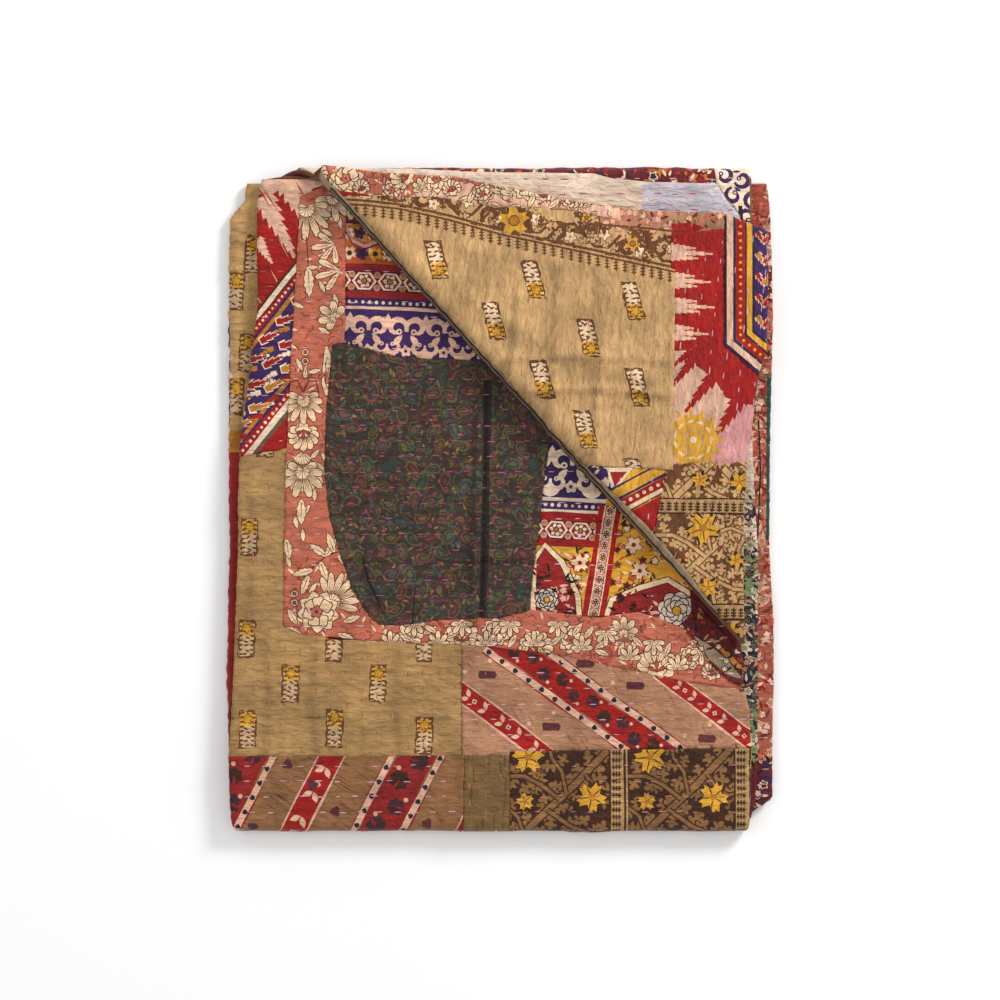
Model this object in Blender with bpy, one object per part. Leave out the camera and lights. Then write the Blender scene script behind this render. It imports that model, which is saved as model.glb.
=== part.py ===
"""A patchwork kantha throw, folded flat, as one solid sheet of cloth.

The cloth is built flat and then folded the way a person folds it: in thirds across its width,
in three panels along its length, and last the lower left half of the top panel turned back on a
diagonal. Metres, +Z up, +X to the right of the front view, +Y away from the viewer's feet.
"""

import math

import bmesh
import bpy
from mathutils import Vector

# Cloth: three layers of old silk quilted together, and the air between its plies
CLOTH_T = 0.0020
PLY_GAP = 0.0007
PLY_PITCH = CLOTH_T + PLY_GAP
STRIP_T = 3 * CLOTH_T + 2 * PLY_GAP
STRIP_GAP = 0.0008
FOLD_R = (STRIP_T + STRIP_GAP) / 2
SIDE_R = PLY_PITCH / 2

# Where the panels turn, as centre lines of the two cross folds
FRONT_FOLD_Y = -0.2648
BACK_FOLD_Y = 0.2632
FIRST_PANEL_END_Y = 0.2605
LAST_REACH = 0.1090

# Steps along the mesh
PLY_STEPS = 8
SIDE_STEPS = 6
FOLD_STEPS = 7
ROW_STEP = 0.058
PLY_WIDTH = 0.42
HEM = 0.0012
HEM_SHARE = 0.42

# Diagonal turn of the top panel: a point on its outer edge and the way it runs
TURN_AT = (-0.1296, 0.2423)
TURN_ALONG = (0.671, -0.7415)
TURN_STEPS = 6

# The loft that the quilting's air gives a folded pile, as soft mounds: x, y, reach x, reach y, share
LOFT_COLUMNS = ("x", "y", "reach_x", "reach_y", "share")
LOFT = (
    (0.060, 0.100, 0.120, 0.110, 0.075),
    (-0.090, -0.050, 0.110, 0.150, 0.085),
    (0.110, -0.200, 0.130, 0.080, 0.060),
    (-0.110, 0.200, 0.080, 0.090, 0.045),
    (0.140, 0.030, 0.070, 0.150, 0.050),
)

# Edges of the folded strip, in mm, down each panel in turn. free_left is the raw edge of the first
# ply, fold_left joins plies two and three, fold_right joins one and two, free_right ends ply three.
SPAN_COLUMNS = ("panel", "y", "free_left", "fold_left", "fold_right", "free_right")
SPANS = (
    (1, 260.5, -206.0, -209.0, 207.0, 218.5),
    (1, 247.0, -207.0, -210.0, 209.0, 220.5),
    (1, 232.0, -212.0, -222.5, 210.0, 221.5),
    (1, 150.0, -214.0, -223.8, 211.0, 223.8),
    (1, 49.0, -214.0, -223.9, 211.0, 221.3),
    (1, -40.0, -214.0, -223.0, 213.0, 220.8),
    (1, -100.0, -214.0, -224.4, 213.0, 223.9),
    (1, -190.0, -214.0, -224.6, 212.0, 223.4),
    (1, -248.0, -215.0, -222.6, 209.0, 222.6),
    (1, -256.0, -215.0, -221.6, 205.0, 208.0),
    (1, -264.8, -216.0, -220.8, 203.6, 204.6),
    (2, -264.8, -221.0, -218.0, 203.6, 204.6),
    (2, -248.0, -222.2, -219.0, 204.2, 209.0),
    (2, -211.0, -223.2, -219.0, 204.6, 210.6),
    (2, -172.0, -220.6, -217.0, 203.8, 210.6),
    (2, -148.0, -219.6, -216.5, 197.0, 210.6),
    (2, -43.0, -215.6, -213.0, 197.0, 210.6),
    (2, 49.0, -214.0, -211.5, 197.0, 206.0),
    (2, 103.0, -205.8, -203.5, 198.0, 203.0),
    (2, 157.0, -199.4, -197.5, 200.0, 203.0),
    (2, 243.0, -200.0, -197.5, 202.0, 204.0),
    (2, 263.2, -196.0, -186.0, 202.0, 204.0),
    (3, 263.2, -156.0, -153.0, 205.6, 203.0),
    (3, 215.0, -154.5, -155.5, 206.0, 203.0),
    (3, 155.0, -157.1, -158.6, 204.5, 201.5),
    (3, 111.5, -152.5, -154.0, 203.0, 200.0),
    (3, 50.0, -146.2, -147.7, 200.0, 197.0),
    (3, -1.0, -144.6, -146.0, 197.0, 194.5),
    (3, -66.0, -149.5, -150.5, 197.0, 194.5),
    (3, -107.0, -138.0, -139.5, 198.0, 196.0),
)

# The cloth's last edge, in mm: how far down the top panel reaches at each place across it
END_COLUMNS = ("x", "y")
CLOTH_END = (
    (-155.0, -100.5),
    (-138.0, -102.6),
    (-90.0, -109.0),
    (-43.0, -112.1),
    (-21.0, -107.7),
    (57.0, -105.6),
    (96.0, -107.1),
    (163.0, -113.8),
    (206.0, -121.0),
)

FIRST_LENGTH = FIRST_PANEL_END_Y - FRONT_FOLD_Y
FOLD_LENGTH = math.pi * FOLD_R
SECOND_START = FIRST_LENGTH + FOLD_LENGTH
SECOND_END = SECOND_START + BACK_FOLD_Y - FRONT_FOLD_Y
THIRD_START = SECOND_END + FOLD_LENGTH
FIRST_Z = STRIP_T / 2
SECOND_Z = FIRST_Z + 2 * FOLD_R
THIRD_Z = SECOND_Z + 2 * FOLD_R
TOP_Z = THIRD_Z + 2 * FOLD_R + STRIP_T / 2


def between(table, at):
    """The row of values that a table of (place, values) pairs holds at a place, in straight lines."""
    low = table[0]
    for high in table[1:]:
        if at <= high[0]:
            share = (at - low[0]) / (high[0] - low[0])
            return tuple(a + (b - a) * share for a, b in zip(low[1], high[1]))
        low = high
    return low[1]


def length_at(panel, y):
    """How far along the cloth a place on a panel is."""
    if panel == 1:
        return FIRST_PANEL_END_Y - y
    if panel == 2:
        return SECOND_START + y - FRONT_FOLD_Y
    return THIRD_START + BACK_FOLD_Y - y


def span_table():
    """The strip's four edges against length along the cloth, in metres."""
    rows = []
    for row in SPANS:
        named = dict(zip(SPAN_COLUMNS, row))
        edges = tuple(named[key] / 1000 for key in SPAN_COLUMNS[2:])
        rows.append((length_at(named["panel"], named["y"] / 1000), edges))
    return rows


def end_table():
    return [(x / 1000, (y / 1000,)) for x, y in CLOTH_END]


def stations():
    """The strip's folded section: for each station across the cloth, its anchors, offset, height, turn and share of thickness."""
    found = []
    hem_share = HEM / PLY_WIDTH
    for ply in range(3):
        level = (ply - 1) * PLY_PITCH
        rightward = ply != 1
        places = [step / PLY_STEPS for step in range(PLY_STEPS + 1)]
        if ply == 0:
            places.insert(1, hem_share)
        if ply == 2:
            places.insert(-1, 1 - hem_share)
        for share in places:
            edge = (ply == 0 and share == 0) or (ply == 2 and share == 1)
            across = share if rightward else 1 - share
            found.append((ply, across, 0.0, level, 0.0 if rightward else math.pi, HEM_SHARE if edge else 1.0))
        if ply == 2:
            break
        side = 1 if ply == 0 else -1
        middle = level + PLY_PITCH / 2
        for step in range(1, SIDE_STEPS):
            turn = math.pi * step / SIDE_STEPS
            offset = side * SIDE_R * math.sin(turn)
            height = middle - SIDE_R * math.cos(turn)
            found.append((ply, 1.0 if side > 0 else 0.0, offset, height, turn if side > 0 else math.pi - turn, 1.0))
    return found


def lengths():
    """Every place along the cloth where the mesh has a row."""
    knots = [0.0, HEM]
    for low, high in ((0.0, FIRST_LENGTH), (SECOND_START, SECOND_END)):
        inside = [row[0] for row in span_table() if low < row[0] < high]
        ends = [low, *inside, high]
        for start, stop in zip(ends, ends[1:]):
            pieces = max(1, round((stop - start) / ROW_STEP))
            knots += [start + (stop - start) * n / pieces for n in range(1, pieces + 1)]
        if high == FIRST_LENGTH:
            knots += [FIRST_LENGTH + FOLD_LENGTH * n / FOLD_STEPS for n in range(1, FOLD_STEPS + 1)]
    knots += [SECOND_END + FOLD_LENGTH * n / FOLD_STEPS for n in range(1, FOLD_STEPS + 1)]
    return sorted({round(v, 7) for v in knots})


def third_panel_shares():
    """Rows of the top panel, as shares of its length, which differs across the cloth."""
    whole = BACK_FOLD_Y + LAST_REACH
    count = round(whole / ROW_STEP) + 2
    return [n / count for n in range(1, count)] + [1 - HEM / whole, 1.0]


def flat_slab():
    """The strip with its side folds made and its length still straight, as a bmesh of (x, length, height)."""
    bm = bmesh.new()
    spans, ends = span_table(), end_table()
    section = stations()
    rows = [(v, None) for v in lengths()] + [(None, share) for share in third_panel_shares()]
    grid = []
    for number, (length, share) in enumerate(rows):
        line = []
        last_row = number in (0, len(rows) - 1)
        for ply, across, offset, height, turn, thick in section:
            v = length
            for _ in range(1 if share is None else 3):
                if share is not None:
                    guess = THIRD_START + (BACK_FOLD_Y + LAST_REACH) * share if v is None else v
                    edges = between(spans, guess)
                    left, right = (edges[0] if ply == 0 else edges[1]), (edges[3] if ply == 2 else edges[2])
                    reach = BACK_FOLD_Y - between(ends, left + (right - left) * across)[0]
                    v = THIRD_START + share * reach
            edges = between(spans, v)
            left, right = (edges[0] if ply == 0 else edges[1]), (edges[3] if ply == 2 else edges[2])
            low = left + (SIDE_R + CLOTH_T / 2 if ply > 0 else 0.0)
            high = right - (SIDE_R + CLOTH_T / 2 if ply < 2 else 0.0)
            x = low + (high - low) * across + offset
            half = CLOTH_T / 2 * thick * (HEM_SHARE if last_row else 1.0)
            normal = (-math.sin(turn), math.cos(turn))
            upper = bm.verts.new((x + normal[0] * half, v, height + normal[1] * half))
            lower = bm.verts.new((x - normal[0] * half, v, height - normal[1] * half))
            line.append((upper, lower))
        grid.append(line)
    for near, far in zip(grid, grid[1:]):
        for n in range(len(near) - 1):
            bm.faces.new((near[n][0], near[n + 1][0], far[n + 1][0], far[n][0]))
            bm.faces.new((near[n][1], far[n][1], far[n + 1][1], near[n + 1][1]))
        for n, flip in ((0, True), (-1, False)):
            rim = (near[n][0], far[n][0], far[n][1], near[n][1])
            bm.faces.new(tuple(reversed(rim)) if flip else rim)
    for line, flip in ((grid[0], False), (grid[-1], True)):
        for a, b in zip(line, line[1:]):
            rim = (a[0], a[1], b[1], b[0])
            bm.faces.new(tuple(reversed(rim)) if flip else rim)
    return bm


def turn_reach(x, y):
    """How far a place on the top panel lies past the line where the diagonal turn starts."""
    across = (-TURN_ALONG[1], TURN_ALONG[0])
    dx, dy = x - TURN_AT[0], y - TURN_AT[1]
    return -(dx * across[0] + dy * across[1]) + FOLD_R + STRIP_T / 2


def cut_for_turn(bm):
    """Splits the top panel's faces along the lines of the diagonal turn, so that it bends evenly."""
    out = Vector((TURN_ALONG[1], -TURN_ALONG[0], 0)).normalized()
    for n in range(TURN_STEPS + 1):
        reach = math.pi * FOLD_R * n / TURN_STEPS
        past = reach - FOLD_R - STRIP_T / 2
        y = TURN_AT[1] + out.y * past
        place = Vector((TURN_AT[0] + out.x * past, THIRD_START + BACK_FOLD_Y - y, 0))
        top = [f for f in bm.faces if min(v.co.y for v in f.verts) > THIRD_START - 1e-6]
        geom = list({v for f in top for v in f.verts}) + list({e for f in top for e in f.edges}) + top
        bmesh.ops.bisect_plane(bm, geom=geom, dist=2e-5, plane_co=place, plane_no=(out.x, -out.y, 0))


def loft(x, y):
    """How much higher the pile stands here than its cloth alone, as a share."""
    total = 0.0
    for row in LOFT:
        mound = dict(zip(LOFT_COLUMNS, row))
        far = ((x - mound["x"]) / mound["reach_x"]) ** 2 + ((y - mound["y"]) / mound["reach_y"]) ** 2
        total += mound["share"] * math.exp(-far)
    return total


def folded(co):
    """Where a point of the straight strip goes once the panels and the corner are folded."""
    x, v, w = co
    if v <= FIRST_LENGTH:
        y, z = FIRST_PANEL_END_Y - v, FIRST_Z + w
    elif v <= SECOND_START:
        angle = (v - FIRST_LENGTH) / FOLD_R
        y = FRONT_FOLD_Y - (FOLD_R - w) * math.sin(angle)
        z = FIRST_Z + FOLD_R - (FOLD_R - w) * math.cos(angle)
    elif v <= SECOND_END:
        y, z = FRONT_FOLD_Y + v - SECOND_START, SECOND_Z - w
    elif v <= THIRD_START:
        angle = (v - SECOND_END) / FOLD_R
        y = BACK_FOLD_Y + (FOLD_R + w) * math.sin(angle)
        z = SECOND_Z + FOLD_R - (FOLD_R + w) * math.cos(angle)
    else:
        y, z = BACK_FOLD_Y - (v - THIRD_START), THIRD_Z + w
        reach = turn_reach(x, y)
        if reach > 0:
            out = (TURN_ALONG[1], -TURN_ALONG[0])
            angle = min(reach / FOLD_R, math.pi)
            rest = reach - angle * FOLD_R
            moved = (FOLD_R - w) * math.sin(angle) - rest - reach
            x, y = x + out[0] * moved, y + out[1] * moved
            z = THIRD_Z + FOLD_R - (FOLD_R - w) * math.cos(angle)
    return Vector((x, y, z * (1 + loft(x, y))))


def silk_material():
    material = bpy.data.materials.new("quilted_silk")
    material.use_nodes = True
    shader = material.node_tree.nodes["Principled BSDF"]
    shader.inputs["Base Color"].default_value = (0.36, 0.25, 0.15, 1.0)
    shader.inputs["Roughness"].default_value = 0.8
    return material


def build_throw():
    """One closed solid: the folded cloth."""
    bm = flat_slab()
    cut_for_turn(bm)
    bmesh.ops.remove_doubles(bm, verts=bm.verts[:], dist=5e-6)
    for vert in bm.verts:
        vert.co = folded(vert.co)
    bmesh.ops.triangulate(bm, faces=bm.faces[:])
    bmesh.ops.recalc_face_normals(bm, faces=bm.faces[:])
    if bm.calc_volume(signed=True) < 0:
        bmesh.ops.reverse_faces(bm, faces=bm.faces[:])
    mesh = bpy.data.meshes.new("throw")
    bm.to_mesh(mesh)
    bm.free()
    mesh.materials.append(silk_material())
    throw = bpy.data.objects.new("throw", mesh)
    bpy.context.scene.collection.objects.link(throw)
    return throw


def main():
    for old in list(bpy.data.objects):
        bpy.data.objects.remove(old, do_unlink=True)
    build_throw()


main()
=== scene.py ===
"""Dresses a folded patchwork kantha throw: printed silks pieced over a quilted cloth, in running stitch.

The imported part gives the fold. Here the base cloth is built again on the same folds with more steps,
each printed patch is laid over it as its own thin cloth with its print in its faces, and the running
stitches are laid along their rows.
"""

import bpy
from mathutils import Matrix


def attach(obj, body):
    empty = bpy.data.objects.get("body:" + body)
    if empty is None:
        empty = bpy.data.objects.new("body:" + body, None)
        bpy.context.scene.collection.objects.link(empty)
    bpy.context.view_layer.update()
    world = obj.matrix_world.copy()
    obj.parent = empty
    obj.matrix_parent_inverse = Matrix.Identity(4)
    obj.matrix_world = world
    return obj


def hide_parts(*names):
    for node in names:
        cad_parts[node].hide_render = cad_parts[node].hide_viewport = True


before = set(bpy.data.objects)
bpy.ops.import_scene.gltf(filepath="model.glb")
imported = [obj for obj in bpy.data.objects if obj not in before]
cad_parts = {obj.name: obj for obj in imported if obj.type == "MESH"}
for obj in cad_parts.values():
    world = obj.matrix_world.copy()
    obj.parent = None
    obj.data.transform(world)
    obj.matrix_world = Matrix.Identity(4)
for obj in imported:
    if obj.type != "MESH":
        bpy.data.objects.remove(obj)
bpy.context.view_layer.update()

import logging
import math
import random
from dataclasses import dataclass, field
from enum import Enum
from typing import Callable

import bmesh
import bpy
import numpy as np
from mathutils import Vector, noise
from mathutils.geometry import delaunay_2d_cdt

LOG = logging.getLogger("throw")
UNIT = 0.00082  # metres of cloth in one plan unit, a thousandth of the laid-out view's side
PLAN_MID = (501.0, 499.5)
SEED = 17
BODY = "root"
NODE = "throw"


def linear(colour: str, gain: float = 1.0) -> tuple[float, float, float, float]:
    """Turns an sRGB hex colour to linear.

    Args:
        colour: the colour as "#RRGGBB".
        gain: a factor on the linear values.

    Returns:
        Linear red, green, blue and an alpha of one.
    """
    parts = [int(colour[n : n + 2], 16) / 255 for n in (1, 3, 5)]
    flat = [c / 12.92 if c <= 0.04045 else ((c + 0.055) / 1.055) ** 2.4 for c in parts]
    return (flat[0] * gain, flat[1] * gain, flat[2] * gain, 1.0)


class Dye(Enum):
    """The dyes of the printed silks, as sRGB, and the dark used for painted shade in the charcoal's deep crease."""

    TAN = "#B39A6E"
    CREAM = "#F0E1C6"
    IVORY = "#F0E7DA"
    BLUSH = "#E2C2B4"
    SALMON = "#C27462"
    ROSE = "#A65245"
    CORAL = "#A65E4C"
    ORCHID = "#D4A0AC"
    LILAC = "#C8CFEC"
    MILK = "#E0D8D2"
    SAND = "#B48C74"
    CLAY = "#94704E"
    KHAKI = "#AF9466"
    HONEY = "#CAAF82"
    WHEAT = "#C3A674"
    BISCUIT = "#D6C2A2"
    RED = "#A0140F"
    BRICK = "#93201F"
    MAROON = "#5E1420"
    BARK = "#3E2210"
    BROWN = "#6A4526"
    UMBER = "#6A5230"
    OCHRE = "#B8822C"
    YELLOW = "#DDB03A"
    ORANGE = "#C2602A"
    OLIVE = "#7F6A45"
    PURPLE = "#3B2266"
    NAVY = "#23203C"
    TEAL = "#2C4A48"
    GREEN = "#7F9C74"
    CHARCOAL = "#3C332F"
    MOSS = "#4B5636"
    WINE = "#5C2C3A"
    PEWTER = "#5F5D52"
    SLATE = "#46565A"
    DUSK = "#70464E"
    FERN = "#5D6038"
    PLUM = "#432333"
    RUST = "#6B3024"
    STONE = "#9A917F"
    MOCHA = "#8E6D46"
    MAGENTA = "#B4416C"
    # Painted shade: the dark band drawn down the charcoal's deep crease, not a dye of the cloth.
    CREASE_SHADE = "#2A2422"
    INK = "#1A1412"


class Zone(Enum):
    """The stretches of the folded cloth that patches lie on."""

    PANEL_ONE = "panel_one"
    PANEL_TWO = "panel_two"
    PANEL_TWO_LOW = "panel_two_low"
    PANEL_THREE = "panel_three"
    FLAP = "flap"


@dataclass(frozen=True)
class FoldedCloth:
    """The throw's folds, in the sizes of its source: thirds across, three panels along, one corner turned."""

    cloth_t: float = 0.0020
    ply_gap: float = 0.0007
    strip_gap: float = 0.0008
    front_fold_y: float = -0.2648
    back_fold_y: float = 0.2632
    first_end_y: float = 0.2605
    last_reach: float = 0.1090
    turn_at: tuple[float, float] = (-0.1296, 0.2423)
    turn_along: tuple[float, float] = (0.671, -0.7415)
    loft_mounds: tuple[tuple[float, ...], ...] = (
        (0.060, 0.100, 0.120, 0.110, 0.075),
        (-0.090, -0.050, 0.110, 0.150, 0.085),
        (0.110, -0.200, 0.130, 0.080, 0.060),
        (-0.110, 0.200, 0.080, 0.090, 0.045),
        (0.140, 0.030, 0.070, 0.150, 0.050),
    )
    # panel, y, free_left, fold_left, fold_right, free_right, all in mm
    spans: tuple[tuple[float, ...], ...] = (
        (1, 260.5, -206.0, -209.0, 207.0, 218.5),
        (1, 247.0, -207.0, -210.0, 209.0, 220.5),
        (1, 232.0, -212.0, -222.5, 210.0, 221.5),
        (1, 150.0, -214.0, -223.8, 211.0, 223.8),
        (1, 49.0, -214.0, -223.9, 211.0, 221.3),
        (1, -40.0, -214.0, -223.0, 213.0, 220.8),
        (1, -100.0, -214.0, -224.4, 213.0, 223.9),
        (1, -190.0, -214.0, -224.6, 212.0, 223.4),
        (1, -248.0, -215.0, -222.6, 209.0, 222.6),
        (1, -256.0, -215.0, -221.6, 205.0, 208.0),
        (1, -264.8, -216.0, -220.8, 203.6, 204.6),
        (2, -264.8, -221.0, -218.0, 203.6, 204.6),
        (2, -248.0, -222.2, -219.0, 204.2, 209.0),
        (2, -211.0, -223.2, -219.0, 204.6, 210.6),
        (2, -172.0, -220.6, -217.0, 203.8, 210.6),
        (2, -148.0, -219.6, -216.5, 197.0, 210.6),
        (2, -43.0, -215.6, -213.0, 197.0, 210.6),
        (2, 49.0, -214.0, -211.5, 197.0, 206.0),
        (2, 103.0, -205.8, -203.5, 198.0, 203.0),
        (2, 157.0, -199.4, -197.5, 200.0, 203.0),
        (2, 243.0, -200.0, -197.5, 202.0, 204.0),
        (2, 263.2, -196.0, -186.0, 202.0, 204.0),
        (3, 263.2, -156.0, -153.0, 205.6, 203.0),
        (3, 215.0, -154.5, -155.5, 206.0, 203.0),
        (3, 155.0, -157.1, -158.6, 204.5, 201.5),
        (3, 111.5, -152.5, -154.0, 203.0, 200.0),
        (3, 50.0, -146.2, -147.7, 200.0, 197.0),
        (3, -1.0, -144.6, -146.0, 197.0, 194.5),
        (3, -66.0, -149.5, -150.5, 197.0, 194.5),
        (3, -107.0, -138.0, -139.5, 198.0, 196.0),
    )
    # x, y of the cloth's last edge, in mm
    last_edge: tuple[tuple[float, float], ...] = (
        (-155.0, -100.5),
        (-138.0, -102.6),
        (-90.0, -109.0),
        (-43.0, -112.1),
        (-21.0, -107.7),
        (57.0, -105.6),
        (96.0, -107.1),
        (163.0, -113.8),
        (206.0, -121.0),
    )

    @property
    def pitch(self) -> float:
        """From one ply's middle to the next one's."""
        return self.cloth_t + self.ply_gap

    @property
    def half(self) -> float:
        """Half the thickness of a strip of three plies."""
        return 1.5 * self.cloth_t + self.ply_gap

    @property
    def radius(self) -> float:
        """The middle radius of the cross folds and of the turned corner."""
        return self.half + self.strip_gap / 2

    @property
    def outer(self) -> float:
        """The outer radius of a cross fold."""
        return self.radius + self.half

    @property
    def side_outer(self) -> float:
        """The outer radius of a fold between two plies."""
        return self.pitch / 2 + self.cloth_t / 2

    @property
    def first_length(self) -> float:
        """Cloth in the lowest panel."""
        return self.first_end_y - self.front_fold_y

    @property
    def second_start(self) -> float:
        """Where along the cloth the middle panel starts."""
        return self.first_length + math.pi * self.radius

    @property
    def second_end(self) -> float:
        """Where along the cloth the middle panel ends."""
        return self.second_start + self.back_fold_y - self.front_fold_y

    @property
    def third_start(self) -> float:
        """Where along the cloth the top panel starts."""
        return self.second_end + math.pi * self.radius

    def edges(self, v: np.ndarray) -> np.ndarray:
        """The strip's four edges at places along the cloth.

        Args:
            v: lengths along the cloth.

        Returns:
            free_left, fold_left, fold_right and free_right as rows, in metres.
        """
        rows = np.array(self.spans)
        y = rows[:, 1] / 1000
        at = np.where(rows[:, 0] == 1, self.first_end_y - y, self.second_start + y - self.front_fold_y)
        at = np.where(rows[:, 0] == 3, self.third_start + self.back_fold_y - y, at)
        return np.array([np.interp(v, at, rows[:, k] / 1000) for k in range(2, 6)])

    def end_reach(self, x: np.ndarray) -> np.ndarray:
        """How long the top panel is at each place across it."""
        rows = np.array(self.last_edge) / 1000
        return self.back_fold_y - np.interp(x, rows[:, 0], rows[:, 1])

    def loft(self, x: np.ndarray, y: np.ndarray) -> np.ndarray:
        """The share by which the pile stands higher than its cloth alone."""
        total = np.zeros_like(x)
        for mx, my, rx, ry, share in self.loft_mounds:
            total += share * np.exp(-(((x - mx) / rx) ** 2) - ((y - my) / ry) ** 2)
        return total

    def fold(self, x: np.ndarray, v: np.ndarray, w: np.ndarray) -> np.ndarray:
        """Folds points of the straight strip into the pile.

        Args:
            x: places across.
            v: lengths along the cloth.
            w: heights off the strip's middle.

        Returns:
            Points in the row's frame, one in each row.
        """
        x, v, w = (np.array(a, float) for a in np.broadcast_arrays(x, v, w))
        r, z1 = self.radius, self.half
        z2, z3 = z1 + 2 * r, z1 + 4 * r
        a1 = np.clip((v - self.first_length) / r, 0, math.pi)
        a2 = np.clip((v - self.second_end) / r, 0, math.pi)
        y = self.first_end_y - v
        z = z1 + w
        mid = v > self.first_length
        y = np.where(mid, self.front_fold_y - (r - w) * np.sin(a1), y)
        z = np.where(mid, z1 + r - (r - w) * np.cos(a1), z)
        two = v > self.second_start
        y = np.where(two, self.front_fold_y + v - self.second_start, y)
        z = np.where(two, z2 - w, z)
        back = v > self.second_end
        y = np.where(back, self.back_fold_y + (r + w) * np.sin(a2), y)
        z = np.where(back, z2 + r - (r + w) * np.cos(a2), z)
        three = v > self.third_start
        y = np.where(three, self.back_fold_y - (v - self.third_start), y)
        z = np.where(three, z3 + w, z)
        ox, oy = self.turn_along[1], -self.turn_along[0]
        reach = (x - self.turn_at[0]) * ox + (y - self.turn_at[1]) * oy + self.outer
        turned = three & (reach > 0)
        angle = np.clip(reach / r, 0, math.pi)
        moved = (r - w) * np.sin(angle) - (reach - angle * r) - reach
        x = np.where(turned, x + ox * moved, x)
        y = np.where(turned, y + oy * moved, y)
        z = np.where(turned, z3 + r - (r - w) * np.cos(angle), z)
        return np.stack([x, y, z * (1 + self.loft(x, y))], axis=-1)

    def on_cloth(self, zone: Zone, plan: np.ndarray) -> tuple[np.ndarray, np.ndarray]:
        """Finds where on the cloth a place in the laid-out view is.

        Args:
            zone: the stretch of cloth that shows there.
            plan: plan places, one in each row.

        Returns:
            Places across and lengths along the cloth.
        """
        x = (plan[:, 0] - PLAN_MID[0]) * UNIT
        y = (PLAN_MID[1] - plan[:, 1]) * UNIT
        bend = self.radius / self.outer
        if zone is Zone.PANEL_ONE:
            return x, self.first_end_y - y
        if zone in (Zone.PANEL_TWO, Zone.PANEL_TWO_LOW):
            under = np.maximum(self.front_fold_y - y, 0)
            arc = np.minimum(under, math.pi * self.outer)
            return x, self.second_start + np.maximum(y - self.front_fold_y, 0) - arc * bend - (under - arc)
        if zone is Zone.PANEL_THREE:
            over = np.maximum(y - self.back_fold_y, 0)
            return x, self.third_start + np.maximum(self.back_fold_y - y, 0) - over * bend
        dx, dy = self.turn_along
        ox, oy = dy, -dx
        ax, ay = x - self.turn_at[0], y - self.turn_at[1]
        along = ax * dx + ay * dy
        out = ax * ox + ay * oy + self.outer
        reach = np.where(out <= 0, math.pi * self.radius - out, (math.pi - out / self.outer) * self.radius)
        px = self.turn_at[0] + dx * along + ox * (reach - self.outer)
        py = self.turn_at[1] + dy * along + oy * (reach - self.outer)
        return px, self.third_start + self.back_fold_y - py

    def lay(self, zone: Zone, x: np.ndarray, v: np.ndarray, lift: np.ndarray) -> np.ndarray:
        """Lays points on the outside of the folded cloth, round its hems and side folds.

        Args:
            zone: the stretch of cloth.
            x: places across.
            v: lengths along the cloth.
            lift: heights off the cloth's skin.

        Returns:
            Points in the row's frame.
        """
        v = np.array(v, float)
        free_left, fold_left, fold_right, free_right = self.edges(v)
        x = np.array(x, float)
        lift = np.broadcast_to(np.array(lift, float), x.shape)
        side = self.side_outer
        if zone in (Zone.PANEL_TWO, Zone.FLAP):
            w = -self.half - lift
            past = free_left - x
            w = np.where(past > 0, w + np.minimum(past, self.cloth_t) + lift, w)
            x = np.where(past > 0, free_left - 0.0003 - 0.5 * lift, x)
            turn = x - (fold_right - side)
            angle = np.clip(turn / side, 0, math.pi)
            rounded = turn > 0
            w = np.where(rounded, -self.pitch / 2 - (side + lift) * np.cos(angle), w)
            x = np.where(rounded, fold_right - side + (side + lift) * np.sin(angle) - np.maximum(
                turn - math.pi * side, 0), x)
        elif zone is Zone.PANEL_TWO_LOW:
            w = self.half - self.cloth_t - lift
            past = x - free_right
            w = np.where(past > 0, w + np.minimum(past, self.cloth_t) + lift, w)
            x = np.where(past > 0, free_right + 0.0003 + 0.5 * lift, x)
        else:
            w = self.half + lift
            past = x - free_right
            w = np.where(past > 0, w - np.minimum(past, self.cloth_t) - lift, w)
            x = np.where(past > 0, free_right + 0.0003 + 0.5 * lift, x)
            turn = (fold_left + side) - x
            angle = np.clip(turn / side, 0, math.pi)
            rounded = turn > 0
            w = np.where(rounded, self.pitch / 2 + (side + lift) * np.cos(angle), w)
            x = np.where(rounded, fold_left + side - (side + lift) * np.sin(angle) + np.maximum(turn - math.pi * side,
                0), x)
        last = self.third_start + self.end_reach(x)
        for past, hold in ((-v, 0.0), (v - last, last)):
            over = past > 0
            sign = 1 if zone in (Zone.PANEL_TWO, Zone.FLAP, Zone.PANEL_TWO_LOW) else -1
            w = np.where(over, w + sign * np.minimum(past, self.cloth_t), w)
            v = np.where(over, hold + (0.0003 if np.ndim(hold) else -0.0003), v)
        points = self.fold(x, v, w)
        # The underside is pressed flat on the table: the patches lowest, then what they overlap
        pressed = np.where(lift > 0.0002, 0.0002, np.where(lift > 0.0001, 0.0003, 0.0004))
        points[:, 2] = np.where(points[:, 2] < 0.0006, pressed, points[:, 2])
        return points


CLOTH = FoldedCloth()


def wavy(points: np.ndarray, scale: float, shift: float = 0.0) -> np.ndarray:
    """Smooth noise at points.

    Args:
        points: places, two numbers in each row.
        scale: how many waves there are in one unit.
        shift: moves the pattern, for another one.

    Returns:
        A value from -1 to 1 for each place.
    """
    return np.array([noise.noise((p[0] * scale, p[1] * scale, shift)) for p in points])


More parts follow.
